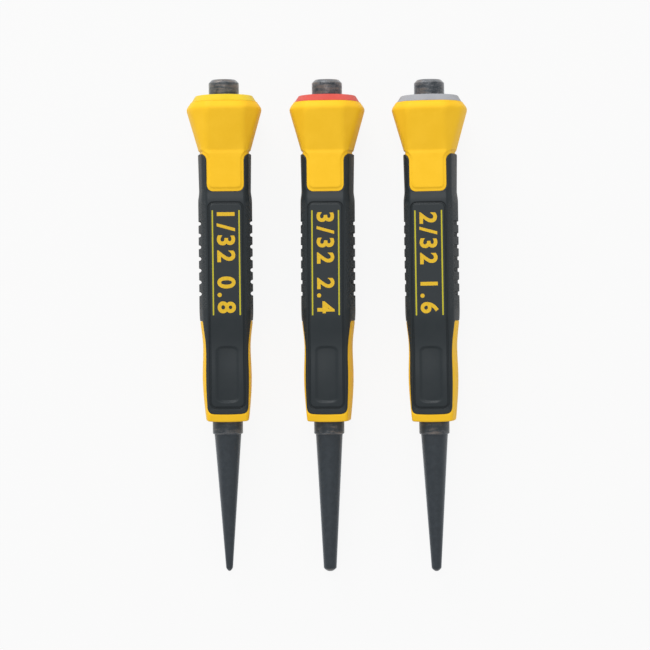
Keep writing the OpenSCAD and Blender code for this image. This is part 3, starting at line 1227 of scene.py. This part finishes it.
@dataclass
class Grip:
    """Soft grip: a moulded shell with ears, side notches, an outlined panel and a thumb rest.

    The fields that end in row are distances between rows of points. A pair is where a smooth step starts and
    ends, apart from the two lines of painted shade, which are a middle and a reach.
    """

    sizes: HandleSizes
    line: MouldLine
    overlap: float = 0.35
    edge_r: float = 0.22
    edge_steps: int = 4
    panel_half: float = 4.8
    panel_z0: float = 43.08
    panel_z1: float = 97.5
    panel_r: float = 1.7
    groove_w: float = 0.68
    groove_depth: float = 0.26
    groove_wall: tuple[float, float] = (-0.02, 0.16)
    groove_rise: tuple[float, float] = (-0.4, 0.05)
    # Painted shade: two dark lines painted along the panel groove's edges, carried by the sunk mask.
    wall_shade: float = 0.65
    wall_line: tuple[float, float] = (-0.1, 0.15)
    rise_shade: float = 0.25
    rise_line: tuple[float, float] = (0.12, 0.16)
    rest_half: float = 3.12
    rest_z0: float = 44.9
    rest_len: float = 14.5
    rest_r: float = 1.1
    rest_ease: float = 0.6
    rest_bow: float = 0.3
    rest_depth: float = 0.42
    rest_edge: tuple[float, float] = (-0.15, 0.53)
    rest_dish: float = 0.62
    notch_first: float = 92.0
    notch_pitch: float = 3.1
    notch_count: int = 7
    notch_r: float = 0.55
    notch_depth: float = 0.62
    notch_reach: float = 5.6
    notch_floor: float = 0.3
    fine_grain: float = 0.25
    row: float = 0.5
    fine_row: float = 0.13
    edge_row: float = 0.14
    band_row: float = 0.16
    bevel_row: float = 0.25
    notch_row: float = 0.08
    notch_rows_half: float = 0.72
    steps: tuple[int, ...] = (7, 5, 6, 8)
    flat_stops: tuple[float, ...] = (
        0.0, 0.09, 0.18, 0.27, 0.36, 0.44, 0.51, 0.555, 0.59, 0.625, 0.66, 0.695, 0.735,
        0.775, 0.805, 0.835, 0.86, 0.885, 0.905, 0.925, 0.945, 0.965, 0.98, 1.0,
    )

    def heights(self) -> np.ndarray:
        """Places the rows, close together where the detail is.

        Returns:
            Their heights, upwards.
        """
        low, high = self.sizes.grip_z0 - self.overlap, self.sizes.grip_z1 + self.overlap
        rest_z1 = self.rest_z0 + self.rest_len
        band_z, tongue_z = self.line.band_top_z, self.line.tongue_z0
        fine = [
            (low, self.rest_z0 + 1.0, self.fine_row),
            (rest_z1 - 1.2, rest_z1 + 0.5, self.fine_row),
            (band_z - 1.5, band_z + 0.5, self.band_row),
            (self.panel_z1 - 1.7, self.panel_z1 + 0.3, self.fine_row),
            (self.sizes.barrel_z1 - 0.4, tongue_z - 0.2, self.bevel_row),
            (tongue_z - 0.2, tongue_z + 1.6, self.edge_row),
            (self.sizes.grip_z1 - 2.4, high, self.edge_row),
        ]
        for k in range(self.notch_count):
            middle = self.notch_first - k * self.notch_pitch
            fine.append((middle - self.notch_rows_half, middle + self.notch_rows_half, self.notch_row))
        return graded(low, high, self.row, fine)

    def pressed(self, points: np.ndarray) -> tuple[np.ndarray, np.ndarray]:
        """Depth of the panel's groove and of the thumb rest.

        Args:
            points: points of the grip's surface.

        Returns:
            The depths, and the painted shade along the groove's two edges from 0 to 1.
        """
        x, z = np.abs(points[..., 0]), points[..., 2]
        facing = np.abs(points[..., 1]) > self.sizes.flat_half
        middle, tall_half = (self.panel_z0 + self.panel_z1) / 2, (self.panel_z1 - self.panel_z0) / 2
        panel = round_meet(x - self.panel_half, np.abs(z - middle) - tall_half, self.panel_r)
        wall = smooth_step(-panel, *self.groove_wall)
        slope = 1 - smooth_step(-panel, *(self.groove_w + reach for reach in self.groove_rise))
        # Painted shade along the groove's steep wall and along its gentle side.
        shade = self.wall_shade * bell(panel, *self.wall_line)
        shade += self.rise_shade * bell(panel + self.groove_w, *self.rise_line)
        bow = self.rest_bow * (0.5 - (x / self.rest_half) ** 2)
        rest_tall = np.abs(z - self.rest_z0 - self.rest_len / 2) - self.rest_len / 2 - bow
        rest = round_meet((x - self.rest_half) * self.rest_ease, rest_tall, self.rest_r)
        dish = 1 - self.rest_dish * np.minimum(x / self.rest_half, 1) ** 2
        hollow = dish * smooth_step(-rest, *self.rest_edge)
        depth = wall * slope * self.groove_depth + hollow * self.rest_depth
        return np.where(facing, depth, 0), np.where(facing, shade, 0)

    def grained(self, points: np.ndarray) -> np.ndarray:
        """Masks the grained skin on the barrel's slanting faces and sides, finer on the ears and the tail.

        Args:
            points: points of the grip's surface.

        Returns:
            The mask, from 0 to 1.
        """
        sizes, z = self.sizes, points[..., 2]
        across = smooth_step(np.abs(points[..., 0]), sizes.flat_half + 0.1, sizes.flat_half + 0.6)
        low = smooth_step(z, sizes.barrel_z0 - 0.4, sizes.barrel_z0 + 1.0)
        barrel = across * low * (1 - smooth_step(z, sizes.barrel_z1 - 1.6, sizes.barrel_z1 + 0.2))
        tail = 1 - smooth_step(z, self.panel_z0 - 0.4, self.panel_z0)
        ears = smooth_step(z, self.line.tongue_z0, self.line.tongue_z0 + 1)
        return np.maximum(barrel, self.fine_grain * np.maximum(across, np.maximum(tail, ears)))

    def rolled(self, rim: np.ndarray, normals: np.ndarray, away: np.ndarray) -> list[np.ndarray]:
        """Rolls the shell's edge over to the mould line.

        Args:
            rim: points of the edge.
            normals: the surface's normals there.
            away: directions along the surface, away from the mould line.

        Returns:
            The loops of points, from the face to the mould line.
        """
        angles = np.linspace(0, math.pi / 2, self.edge_steps + 1)[1:]
        across, inward = unit(away) * self.edge_r, normals * self.edge_r
        return [rim - across * math.sin(a) - inward * (1 - math.cos(a)) for a in angles]

    def draft(self) -> Draft:
        """Builds the shell before its notches are pressed.

        Returns:
            The shell.
        """
        heights = self.heights()
        columns = Columns.spread(self.flat_stops, self.steps)
        half = self.sizes.outline(np.minimum(heights, self.sizes.grip_z1 + 0.1))
        base = with_height(columns.section(half, self.sizes, self.sizes.grip_corner), heights)
        normals = grid_normals(base)
        distance, away = self.line.on_surface(base, normals)
        depth, shade = self.pressed(base)
        grid = CutGrid(distance, self.edge_r + self.sizes.fit_gap / 2)
        outer = grid.spread(base - normals * depth[..., None])
        first = grid.rows * grid.cols
        loops = self.rolled(*(grid.spread(a)[first:] for a in (base, normals, away)))
        inside = self.sizes.sleeve_r + self.sizes.fit_gap / 2
        inner = np.concatenate([on_cylinder(base, inside).reshape(-1, 3), on_cylinder(loops[-1], inside)])
        points = np.concatenate([outer, *loops, inner])
        shift = len(points) - len(inner)
        faces = grid.quads(grid.full_above) + grid.above
        faces += [[shift + v for v in reversed(f)] for f in grid.strips(grid.full_above) + grid.above]
        starts = [0, *(len(outer) + k * len(loops[0]) - first for k in range(len(loops))), shift]
        for a, b in grid.rim:
            levels = [(start + a, start + b) for start in starts]
            faces += [(q, p, p2, q2) for (p, q), (p2, q2) in zip(levels, levels[1:])]
        hidden = np.zeros(len(points) - len(outer))
        # The sunk mask carries the painted shade of the panel groove.
        masks = {
            name: np.concatenate([grid.spread(mask[..., None])[:, 0], hidden])
            for name, mask in (("sunk", shade), ("grained", self.grained(base)))
        }
        return Draft(points, faces, masks)

    def build(self, rule: NotchRule, material: bpy.types.Material) -> bpy.types.Mesh:
        """Builds the grip with its notches.

        Args:
            rule: the notch rule.
            material: the rubber.

        Returns:
            The mesh, in upright millimetres.
        """
        values = {
            "First": self.notch_first,
            "Pitch": self.notch_pitch,
            "Count": float(self.notch_count),
            "Radius": self.notch_r,
            "Depth": self.notch_depth,
            "Inner": self.sizes.sleeve_r + self.notch_floor,
            "Reach": self.notch_reach,
            "Material": material,
        }
        return rule.grow(self.draft().mesh("grip"), values)


@dataclass
class Core:
    """Rigid core: flared guard, tongues with raised faces, sleeve, side bands and foot.

    The fields that end in row are distances between rows of points, and a pair is where a smooth
    step starts and ends.
    """

    sizes: HandleSizes
    line: MouldLine
    border: float = 0.62
    border_bevel: float = 0.5
    border_depth: float = 0.26
    neck_depth: float = 0.44
    neck_x: tuple[float, float] = (5.6, 6.8)
    band_sink: float = 0.04
    band_roll: float = 0.1
    band_roll_w: float = 0.35
    foot_round: float = 0.5
    foot_steps: int = 7
    foot_bow: float = 0.22
    foot_slope: float = 0.3
    guard_ease: tuple[float, float] = (0.3, 4.0)
    shoulder_ease: tuple[float, float] = (-1.7, 0.6)
    top_gap: float = 0.12
    top_bevel: float = 0.05
    top_share: float = 0.992
    chamfer: float = 0.15
    row: float = 4.0
    even_row: float = 0.6
    band_row: float = 0.7
    fine_row: float = 0.17
    edge_row: float = 0.14
    steps: tuple[int, ...] = (6, 5, 6, 7)
    flat_stops: tuple[float, ...] = (0.0, 0.2, 0.4, 0.58, 0.72, 0.8, 0.86, 0.91, 0.94, 0.97, 1.0)

    def heights(self) -> np.ndarray:
        """Places the rows up the outside, close together where the detail is.

        Returns:
            Their heights, upwards.
        """
        sizes, band_z, tongue_z = self.sizes, self.line.band_top_z, self.line.tongue_z0
        stretches = (
            (sizes.foot_z, sizes.grip_z0 + 1.7, self.fine_row),
            (sizes.grip_z0 + 1.7, band_z - 1.4, self.band_row),
            (band_z - 1.4, band_z + 0.3, self.fine_row),
            (tongue_z - 0.3, tongue_z + 2.2, self.edge_row),
            (tongue_z + 2.2, sizes.grip_z1 - 2.4, self.even_row),
            (sizes.grip_z1 - 2.4, sizes.flare_z0 + 0.8, self.edge_row),
            (sizes.flare_z0 + 0.8, sizes.flare_z1 - 1.6, self.even_row),
            (sizes.flare_z1 - 1.6, sizes.guard_z1, self.edge_row),
        )
        return graded(sizes.foot_z + self.foot_round, sizes.guard_z1 - self.top_gap, self.row, stretches)

    def sunk(self, points: np.ndarray) -> np.ndarray:
        """Depth of the shown surface below the handle's outline.

        Args:
            points: points of the outline's surface.

        Returns:
            The depths.
        """
        raised = smooth_step(-self.line.upper(points), self.border, self.border + self.border_bevel)
        sideways = smooth_step(np.abs(points[..., 0]), *self.neck_x)
        channel = self.border_depth + (self.neck_depth - self.border_depth) * sideways
        rolled = 1 - smooth_step(-self.line.lower(points), 0.0, self.band_roll_w)
        upper = points[..., 2] > (self.line.band_top_z + self.line.tongue_z0) / 2
        return np.where(upper, channel * (1 - raised), self.band_sink + self.band_roll * rolled)

    def bowed(self, points: np.ndarray) -> np.ndarray:
        """Lifts the foot's lower edge at its sides and slopes its faces in.

        Args:
            points: points of the outside.

        Returns:
            The moved points.
        """
        sizes, z = self.sizes, points[..., 2]
        low = 1 - smooth_step(z, sizes.foot_z, sizes.grip_z0 - 0.1)
        lift = self.foot_bow * (points[..., 0] / sizes.foot_half) ** 2 * low
        inward = self.foot_slope * np.clip((sizes.grip_z0 - z) / (sizes.grip_z0 - sizes.foot_z), 0, 1)
        return points + np.stack([lift * 0, -points[..., 1] / sizes.foot_half * inward, lift], axis=-1)

    def foot_rows(self, row: np.ndarray) -> list[np.ndarray]:
        """Rounds the foot's lower edge.

        Args:
            row: the lowest row of the outside.

        Returns:
            The rows below it, upwards.
        """
        made = []
        for a in np.linspace(0, math.pi / 2, self.foot_steps + 1)[:-1]:
            share = 1 - self.foot_round * (1 - math.sin(a)) / self.sizes.foot_half
            made.append(row * (share, share, 1) - (0, 0, self.foot_round * math.cos(a)))
        return made

    def inside_rows(self, row: np.ndarray) -> tuple[list[np.ndarray], list[np.ndarray]]:
        """Draws the hub's seat, and the bore with what fills the grooves of the shank.

        Args:
            row: a row of the outside.

        Returns:
            The rows at the bore's mouth under the foot, and those from the guard's top down.
        """
        sizes, top, foot = self.sizes, self.sizes.guard_z1, self.sizes.foot_z
        hub_r, hub_z = sizes.hub_r + sizes.fit_gap, top - sizes.hub_h - sizes.fit_gap
        mouth = [(sizes.bore_r, foot + self.chamfer), (sizes.bore_r + self.chamfer, foot)]
        down = [(hub_r + self.chamfer, top), (hub_r, top - self.chamfer), (hub_r, hub_z)]
        down += [(sizes.bore_r, hub_z), *sizes.grooves(sizes.bore_r)[::-1]]
        return [circle(row, *r) for r in mouth], [circle(row, *r) for r in down]

    def build(self) -> bpy.types.Mesh:
        """Builds the core as one closed loft, round the outside and back through the bore.

        Returns:
            The mesh, in upright millimetres.
        """
        sizes, heights = self.sizes, self.heights()
        columns = Columns.spread(self.flat_stops, self.steps)
        guard = smooth_step(heights, *(sizes.grip_z1 + reach for reach in self.guard_ease))
        shoulder = smooth_step(heights, *(sizes.flare_z1 + reach for reach in self.shoulder_ease))
        corner = sizes.grip_corner + (sizes.guard_corner - sizes.grip_corner) * guard
        corner += (sizes.shoulder_corner - sizes.guard_corner) * shoulder
        section = columns.section(sizes.outline(heights), sizes, corner, guard * sizes.guard_crown)
        base = with_height(section, heights)
        normals = grid_normals(base)
        distance, _ = self.line.on_surface(base, normals)
        shown = base - normals * self.sunk(base)[..., None]
        edge = shown[-1:] * (1, 1, 0)
        rim = [edge + (0, 0, sizes.guard_z1 - self.top_bevel), edge * self.top_share + (0, 0, sizes.guard_z1)]
        foot = self.foot_rows(shown[:1])
        mouth, down = self.inside_rows(shown[:1])
        rows = np.concatenate([*mouth, self.bowed(np.concatenate([*foot, shown])), *rim, *down])
        before = len(mouth) + len(foot)
        level = np.full(rows.shape[:2], -1.0)
        level[before:before + len(heights)] = distance
        grid = CutGrid(level, -sizes.fit_gap / 2, closed_rows=True)
        top = grid.spread(rows)
        bottom = on_cylinder(top, sizes.sleeve_r)
        shift = len(top)
        faces = grid.quads(grid.full_below) + grid.below
        faces += [[shift + v for v in f] for f in grid.strips(grid.full_above) + grid.above]
        faces += [(a, b, shift + b, shift + a) for a, b in grid.rim]
        return Draft(np.concatenate([top, bottom]), faces).mesh("core")


@dataclass
class SizeRing:
    """Coloured ring on top of the guard, with its hub down in the guard."""

    sizes: HandleSizes
    top_round: float = 0.3
    foot_round: float = 0.1
    lip: float = 1.2
    hub_chamfer: float = 0.2
    bore_chamfer: float = 0.1
    top_chamfer: float = 0.12
    steps: tuple[int, ...] = (5, 4, 5, 6)
    flat_stops: tuple[float, ...] = (0.0, 0.25, 0.5, 0.75, 1.0)

    def build(self) -> bpy.types.Mesh:
        """Builds the ring as one closed loft.

        Returns:
            The mesh, in upright millimetres.
        """
        sizes = self.sizes
        foot_z, top_z, hub_z = sizes.guard_z1 + sizes.fit_gap, sizes.ring_z1, sizes.guard_z1 - sizes.hub_h
        profile = filleted([
            (sizes.ring_top_r - self.lip, top_z, 0.0),
            (sizes.ring_top_r, top_z, self.top_round),
            (sizes.ring_half - sizes.ring_step, foot_z, self.foot_round),
            (sizes.ring_half - self.lip, foot_z, 0.0),
        ])[::-1]
        radii, heights = profile.T
        faceted = Columns.spread(self.flat_stops, self.steps).section(radii, sizes, sizes.shoulder_corner)
        turned = unit(faceted) * radii[:, None, None]
        share = np.clip((heights - foot_z) / (top_z - foot_z), 0, 1)[:, None, None]
        outside = with_height(faceted + (turned - faceted) * share, heights)
        below = (
            (sizes.bore_r, hub_z + self.bore_chamfer),
            (sizes.bore_r + self.bore_chamfer, hub_z),
            (sizes.hub_r - self.hub_chamfer, hub_z),
            (sizes.hub_r, hub_z + self.hub_chamfer),
            (sizes.hub_r, foot_z),
        )
        above = ((sizes.bore_r + self.top_chamfer, top_z), (sizes.bore_r, top_z - self.top_chamfer))
        hub, bore = ([circle(outside[:1], *r) for r in part] for part in (below, above))
        points = np.concatenate([*hub, outside, *bore])
        return Draft(points.reshape(-1, 3), loft_faces(*points.shape[:2], closed_rows=True)).mesh("size_ring")


@dataclass
class Punch:
    """Steel punch: strike end, shank with retaining grooves, collar, taper and cupped tip."""

    sizes: HandleSizes
    tip_d: float
    shank_r: float = 4.0
    strike_z: float = 130.0
    strike_bevel: float = 0.85
    strike_round: float = 0.45
    face_round: float = 0.3
    face_radii: tuple[float, ...] = (2.2, 1.1, 0.0)
    taper_len: float = 36.3
    rungs: int = 15
    rung_margin: tuple[float, float] = (1.6, 1.5)
    collar_step: float = 0.45
    collar_bevel: float = 0.22
    collar_rounds: tuple[float, float, float] = (0.12, 0.05, 0.15)
    tip_bevel: float = 0.5
    tip_bevel_h: float = 0.9
    tip_nose: float = 1.3
    nose_stops: tuple[float, ...] = (0.04, 0.1, 0.18, 0.28, 0.4, 0.53, 0.66, 0.79, 0.9, 1.0)
    tip_cup_share: float = 0.45
    tip_cup: float = 0.1
    cup_stops: tuple[float, ...] = (0.0, 0.3, 0.6, 0.85, 1.0)
    strike_wear: float = 0.69
    strike_edge_wear: float = 0.33
    collar_lightening: float = 0.7
    collar_fade: float = 0.38
    tip_wear: float = 0.6
    around: int = 72
    fillet_steps: int = 4
    weld: float = 0.0005

    @property
    def taper_r(self) -> float:
        """Radius of the taper under the collar."""
        return self.shank_r - self.collar_step

    def profile(self) -> np.ndarray:
        """Line from the middle of the cup, up the outside, to the middle of the strike face.

        Returns:
            Points as (radius, height).
        """
        shank, bevel, nose = self.shank_r, self.tip_bevel_h, self.tip_nose
        nose_r, cup_r = self.tip_d / 2 + self.tip_bevel, self.tip_d / 2 * self.tip_cup_share
        collar_z, ring_z, strike_z = self.taper_len, self.sizes.ring_z1, self.strike_z
        slope = (self.taper_r - nose_r) / (collar_z - bevel)
        rungs = np.linspace(self.rung_margin[0], collar_z - self.rung_margin[1], self.rungs)
        sharp = [(cup_r * s, self.tip_cup * (1 - s * s)) for s in self.cup_stops]
        for s in self.nose_stops:
            sharp.append((cup_r + (nose_r - cup_r) * (1 - (1 - s) ** nose) ** (1 / nose), bevel * s))
        sharp += [(nose_r + slope * (z - bevel), z) for z in rungs]
        root, step, brim = self.collar_rounds
        collar = [
            (self.taper_r, collar_z, root),
            (shank - self.collar_bevel, collar_z, step),
            (shank, collar_z + self.collar_bevel, brim),
        ]
        plain = [(shank, collar_z + 1.6), (shank, self.sizes.foot_z), *self.sizes.grooves(shank)]
        plain += [(shank, ring_z + up) for up in (-0.3, 1.2, 2.4)]
        strike = [
            (shank, strike_z - self.strike_bevel, self.strike_round),
            (shank - self.strike_bevel, strike_z, self.face_round),
        ]
        face = [(r, strike_z) for r in self.face_radii]
        tip, shaft, end = ([(*p, 0.0) for p in part] for part in (sharp, plain, face))
        return filleted([*tip, *collar, *shaft, *strike, *end], self.fillet_steps)

    def rubbed(self, points: np.ndarray) -> np.ndarray:
        """How far the oxide is rubbed off on the strike end and the tip, and how much lighter the collar is
        towards its lower edge.

        Args:
            points: points of the punch.

        Returns:
            The mask, from 0 to about 1.
        """
        z, radius = points[:, 2], np.hypot(points[:, 0], points[:, 1])
        ring_z, foot_z, collar_z = self.sizes.ring_z1, self.sizes.foot_z, self.taper_len
        ground = smooth_step(z, ring_z - 1.2, ring_z - 0.3)
        edge = smooth_step(z, self.strike_z - 1.3, self.strike_z - 0.4)
        strike = ground * (self.strike_wear + self.strike_edge_wear * edge)
        shown = smooth_step(z, collar_z - 0.3, collar_z) * (1 - smooth_step(z, foot_z + 0.4, foot_z + 1.4))
        out = smooth_step(radius, self.taper_r - 0.05, self.taper_r + 0.2)
        # The collar is mixed towards bare steel most at its lower edge, less higher up.
        collar = shown * out * (1 - self.collar_fade * smooth_step(z, collar_z + 0.2, collar_z + 1.5))
        tip = 1 - smooth_step(z, 0.3, 1.2)
        return np.maximum(strike, np.maximum(collar * self.collar_lightening, tip * self.tip_wear))

    def build(self, rule: LatheRule, material: bpy.types.Material) -> bpy.types.Mesh:
        """Turns the punch.

        Args:
            rule: the lathe rule.
            material: the steel.

        Returns:
            The mesh, in upright millimetres, with its masks.
        """
        line = self.profile()
        draft = bpy.data.meshes.new("punch")
        draft.from_pydata([(r, 0.0, z) for r, z in line], [(i, i + 1) for i in range(len(line) - 1)], [])
        values = {"Points": len(line), "Around": self.around, "Weld": self.weld, "Material": material}
        mesh = rule.grow(draft, values)
        points = np.empty(len(mesh.vertices) * 3, np.float32)
        mesh.vertices.foreach_get("co", points)
        points = points.reshape(-1, 3)
        paint_mask(mesh, "rubbed", self.rubbed(points))
        paint_mask(mesh, "own_height", points[:, 2])
        return mesh


@dataclass
class PanelPrint:
    """Print on the front panel: two pin stripes and the size of the tip."""

    sizes: HandleSizes
    stripe_x: float = 3.5
    stripe_w: float = 0.37
    stripe_rows: int = 24
    low: float = 67.7
    high: float = 95.2
    letter_h: float = 4.45
    weight: float = 0.03
    fold: float = 0.025
    figure_band: tuple[float, float] = (8.0, 92.0)
    curve_steps: int = 6
    inset: float = 0.5
    above: float = 0.015
    below: float = 0.03

    def stripes(self) -> Draft:
        """Builds the two pin stripes as thin closed slabs.

        Returns:
            The slabs.
        """
        heights = np.linspace(self.low, self.high, self.stripe_rows)
        depth = self.sizes.outline(heights)
        points: list[tuple[float, float, float]] = []
        faces: Faces = []
        for side in (-1, 1):
            start = len(points)
            left, right = (side * self.stripe_x + way * self.stripe_w / 2 for way in (-1, 1))
            for z, d in zip(heights, depth):
                front, back = -d - self.above, -d + self.below
                points += [(left, front, z), (right, front, z), (right, back, z), (left, back, z)]
            faces += [[start + v for v in f] for f in loft_faces(self.stripe_rows, 4)]
            end = len(points) - 4
            faces += [(start + 3, start + 2, start + 1, start), (end, end + 1, end + 2, end + 3)]
        return Draft(np.array(points), faces)

    def numbers(self, text: str, spacing: float) -> tuple[np.ndarray, Faces]:
        """Makes the printed numbers as thin closed solids, lying flat.

        Args:
            text: the numbers.
            spacing: distance of the figures, as a multiple of the usual one.

        Returns:
            Their points, with the left end at x = 0, and their faces.
        """
        curve = bpy.data.curves.new("number", "FONT")
        curve.body = text
        curve.size = 1.0
        curve.space_character = spacing
        curve.offset = self.weight
        curve.extrude = 0.5
        curve.resolution_u = self.curve_steps
        mesh = plain_mesh(in_scene("number", curve))
        shape = bmesh.new()
        shape.from_mesh(mesh)
        bmesh.ops.remove_doubles(shape, verts=shape.verts, dist=1e-5)
        # The outline folds over itself in tight corners, and each fold is drawn together.
        folds = [v for v in shape.verts if any(len(e.link_faces) != 2 for e in v.link_edges)]
        bmesh.ops.remove_doubles(shape, verts=folds, dist=self.fold)
        bmesh.ops.recalc_face_normals(shape, faces=shape.faces)
        shape.verts.index_update()
        points = np.array([v.co for v in shape.verts])
        faces = [[v.index for v in f.verts] for f in shape.faces]
        shape.free()
        bpy.data.curves.remove(curve)
        bpy.data.meshes.remove(mesh)
        low, high = np.percentile(points[:, 1], self.figure_band)
        points[:, :2] *= self.letter_h / (high - low)
        points[:, 0] -= points[:, 0].min()
        points[:, 1] -= (points[:, 1].min() + points[:, 1].max()) / 2
        return points, faces

    def build(self, marks: Sequence[str]) -> bpy.types.Mesh:
        """Builds the whole print.

        Args:
            marks: the numbers, from the top down.

        Returns:
            The mesh, in upright millimetres.
        """
        stripes = self.stripes()
        text = " ".join(marks)
        tight, loose = (self.numbers(text, spacing)[0][:, 0].max() for spacing in (1.0, 2.0))
        room = self.high - self.low - 2 * self.inset
        flat, shape = self.numbers(text, 1 + (room - tight) / (loose - tight))
        z = self.high - self.inset - flat[:, 0]
        y = np.where(flat[:, 2] > 0, -self.above, self.below) - self.sizes.outline(z)
        start = len(stripes.points)
        points = np.concatenate([stripes.points, np.stack([flat[:, 1], y, z], axis=1)])
        faces = stripes.faces + [[start + v for v in f] for f in shape]
        return Draft(points, faces, {"stripe": (np.arange(len(points)) < start) * 1.0}).mesh("print")


@dataclass
class SetterAssembly:
    """One setter with its pieces and finishes."""

    setter: Setter
    finishes: dict[str, bpy.types.Material]
    notch_rule: NotchRule
    lathe_rule: LatheRule
    sizes: HandleSizes = field(default_factory=HandleSizes)

    def build(self) -> list[Piece]:
        """Builds the setter's pieces.

        Returns:
            The pieces, still upright.
        """
        label, sizes, line = self.setter.label, self.sizes, MouldLine(self.sizes)
        steel, rubber = self.finishes["punch_steel"], self.finishes["grip_rubber"]
        meshes = {
            "punch": (Punch(sizes, self.setter.tip_d).build(self.lathe_rule, steel), "punch_steel"),
            "core": (Core(sizes, line).build(), "core_yellow"),
            "grip": (Grip(sizes, line).build(self.notch_rule, rubber), "grip_rubber"),
            "size_ring": (SizeRing(sizes).build(), self.setter.ring_slot),
        }
        made = [
            Piece(f"{label}_{name}_dressed", mesh, self.finishes[slot], slot, (f"{label}_{name}",))
            for name, (mesh, slot) in meshes.items()
        ]
        ink = PanelPrint(sizes).build(self.setter.marks)
        made.append(Piece(f"{label}_panel_print", ink, self.finishes["print_ink"], "core_yellow"))
        return made

    def dress(self) -> None:
        """Builds the pieces and lays them in the row."""
        for piece in self.build():
            piece.place(self.setter)


@dataclass(frozen=True)
class Lamp:
    """A round soft light: where it stands, its power, its distance and its size."""

    name: str
    out: tuple[float, float, float]
    power: float
    distance: float = 1.6
    size: float = 0.9

    def build(self) -> None:
        """Sets the light, turned to the row's middle."""
        data = bpy.data.lights.new(self.name, "AREA")
        data.shape = "DISK"
        data.size = self.size
        data.energy = self.power
        lamp = in_scene(self.name, data)
        out = Vector(self.out).normalized()
        lamp.location = out * self.distance
        lamp.rotation_euler = out.to_track_quat("Z", "Y").to_euler()


@dataclass(frozen=True)
class Studio:
    """Camera, floor and light of the picture."""

    image_px: float = 650.0
    focal_px: float = 2500.0
    sensor_mm: float = 36.0
    distance: float = 0.6622
    aim_mm: float = 65.12
    aim_x: float = -0.00047
    clip: tuple[float, float] = (0.01, 50.0)
    floor_half: float = 6.0
    floor_grey: float = 0.88
    paper: float = 0.961
    shadow_share: float = 0.06
    ambient: float = 0.68
    lamps: tuple[Lamp, ...] = (
        Lamp("key", (-0.40, 0.84, 0.36), 11.1),
        Lamp("front", (-0.1, 0.37, 0.92), 5.6, 1.5, 0.6),
    )

    def camera(self) -> None:
        """Sets the camera square to the middle setter."""
        lay = Setter.LARGE.lay()
        axis = lay.to_3x3().col[2]
        right, up = Vector((1, 0, 0)), Vector((0, axis.y, axis.z)).normalized()
        towards = right.cross(up)
        aim = lay @ Vector((0, 0, self.aim_mm))
        aim.x = self.aim_x
        data = bpy.data.cameras.new("camera")
        data.sensor_fit = "HORIZONTAL"
        data.sensor_width = self.sensor_mm
        data.lens = self.focal_px * self.sensor_mm / self.image_px
        data.clip_start, data.clip_end = self.clip
        camera = in_scene("camera", data)
        turn = Matrix((right, up, towards)).transposed().to_4x4()
        camera.matrix_world = Matrix.Translation(aim + towards * self.distance) @ turn
        bpy.context.scene.camera = camera

    def pale_to_camera(self, board: Board, lit: Signal, share: float) -> Signal:
        """Shader that camera and clear rays see mostly as plain paper.

        Args:
            board: the tree.
            lit: the lit shader.
            share: how much of the lit shader those rays see.

        Returns:
            The mixed shader.
        """
        camera_ray = board.node("ShaderNodeLightPath", output="Is Camera Ray")
        plain = camera_ray.math("MAXIMUM", camera_ray.other("Is Transmission Ray")) * (1 - share)
        paper = {"Color": (self.paper, self.paper, self.paper, 1), "Strength": 1.0}
        glow = board.node("ShaderNodeEmission", paper)
        return board.node("ShaderNodeMixShader", {0: plain, 1: lit, 2: glow})

    def floor(self) -> None:
        """Lays the pale floor."""
        h = self.floor_half
        mesh = bpy.data.meshes.new("floor")
        mesh.from_pydata([(-h, -h, 0), (h, -h, 0), (h, h, 0), (-h, h, 0)], [], [(0, 1, 2, 3)])
        material = bpy.data.materials.new("pale_floor")
        board = Board(emptied(material))
        grey = (self.floor_grey, self.floor_grey, self.floor_grey, 1)
        lit = board.node("ShaderNodeBsdfDiffuse", {"Color": grey})
        mixed = self.pale_to_camera(board, lit, self.shadow_share)
        board.node("ShaderNodeOutputMaterial", {"Surface": mixed})
        mesh.materials.append(material)
        floor = in_scene("floor", mesh)

    def light(self) -> None:
        """Sets the soft all-round light and the lamps."""
        world = bpy.data.worlds.new("studio")
        bpy.context.scene.world = world
        board = Board(emptied(world))
        sky = board.node("ShaderNodeBackground", {"Color": (1, 1, 1, 1), "Strength": self.ambient})
        mixed = self.pale_to_camera(board, sky, 0.0)
        board.node("ShaderNodeOutputWorld", {"Surface": mixed})
        for lamp in self.lamps:
            lamp.build()

    def set_up(self) -> None:
        """Sets up the whole picture."""
        bpy.context.scene.view_settings.view_transform = "Standard"
        self.camera()
        self.floor()
        self.light()


FINISHES = (
    MouldedPlastic("core_yellow", (0.957, 0.566, 0.031), (0.928, 0.541, 0.026)),
    MouldedPlastic("ring_yellow", (0.77, 0.555, 0.034), (0.74, 0.53, 0.029), 0.36, 0.2),
    MouldedPlastic("ring_red", (0.66, 0.105, 0.085), (0.62, 0.095, 0.076), 0.36, 0.2),
    MouldedPlastic("ring_grey", (0.365, 0.37, 0.39), (0.34, 0.345, 0.365), 0.36, 0.2),
    GripRubber(),
    BlackSteel(),
    PrintInk(),
)


def main() -> None:
    """Builds the picture and the three setters in order."""
    logging.basicConfig(level=logging.INFO, format="%(message)s")
    Studio().set_up()
    finishes = {f.name: f.material() for f in FINISHES}
    notch_rule, lathe_rule = NotchRule(), LatheRule()
    for setter in Setter:
        SetterAssembly(setter, finishes, notch_rule, lathe_rule).dress()


if __name__ == "__main__":
    main()
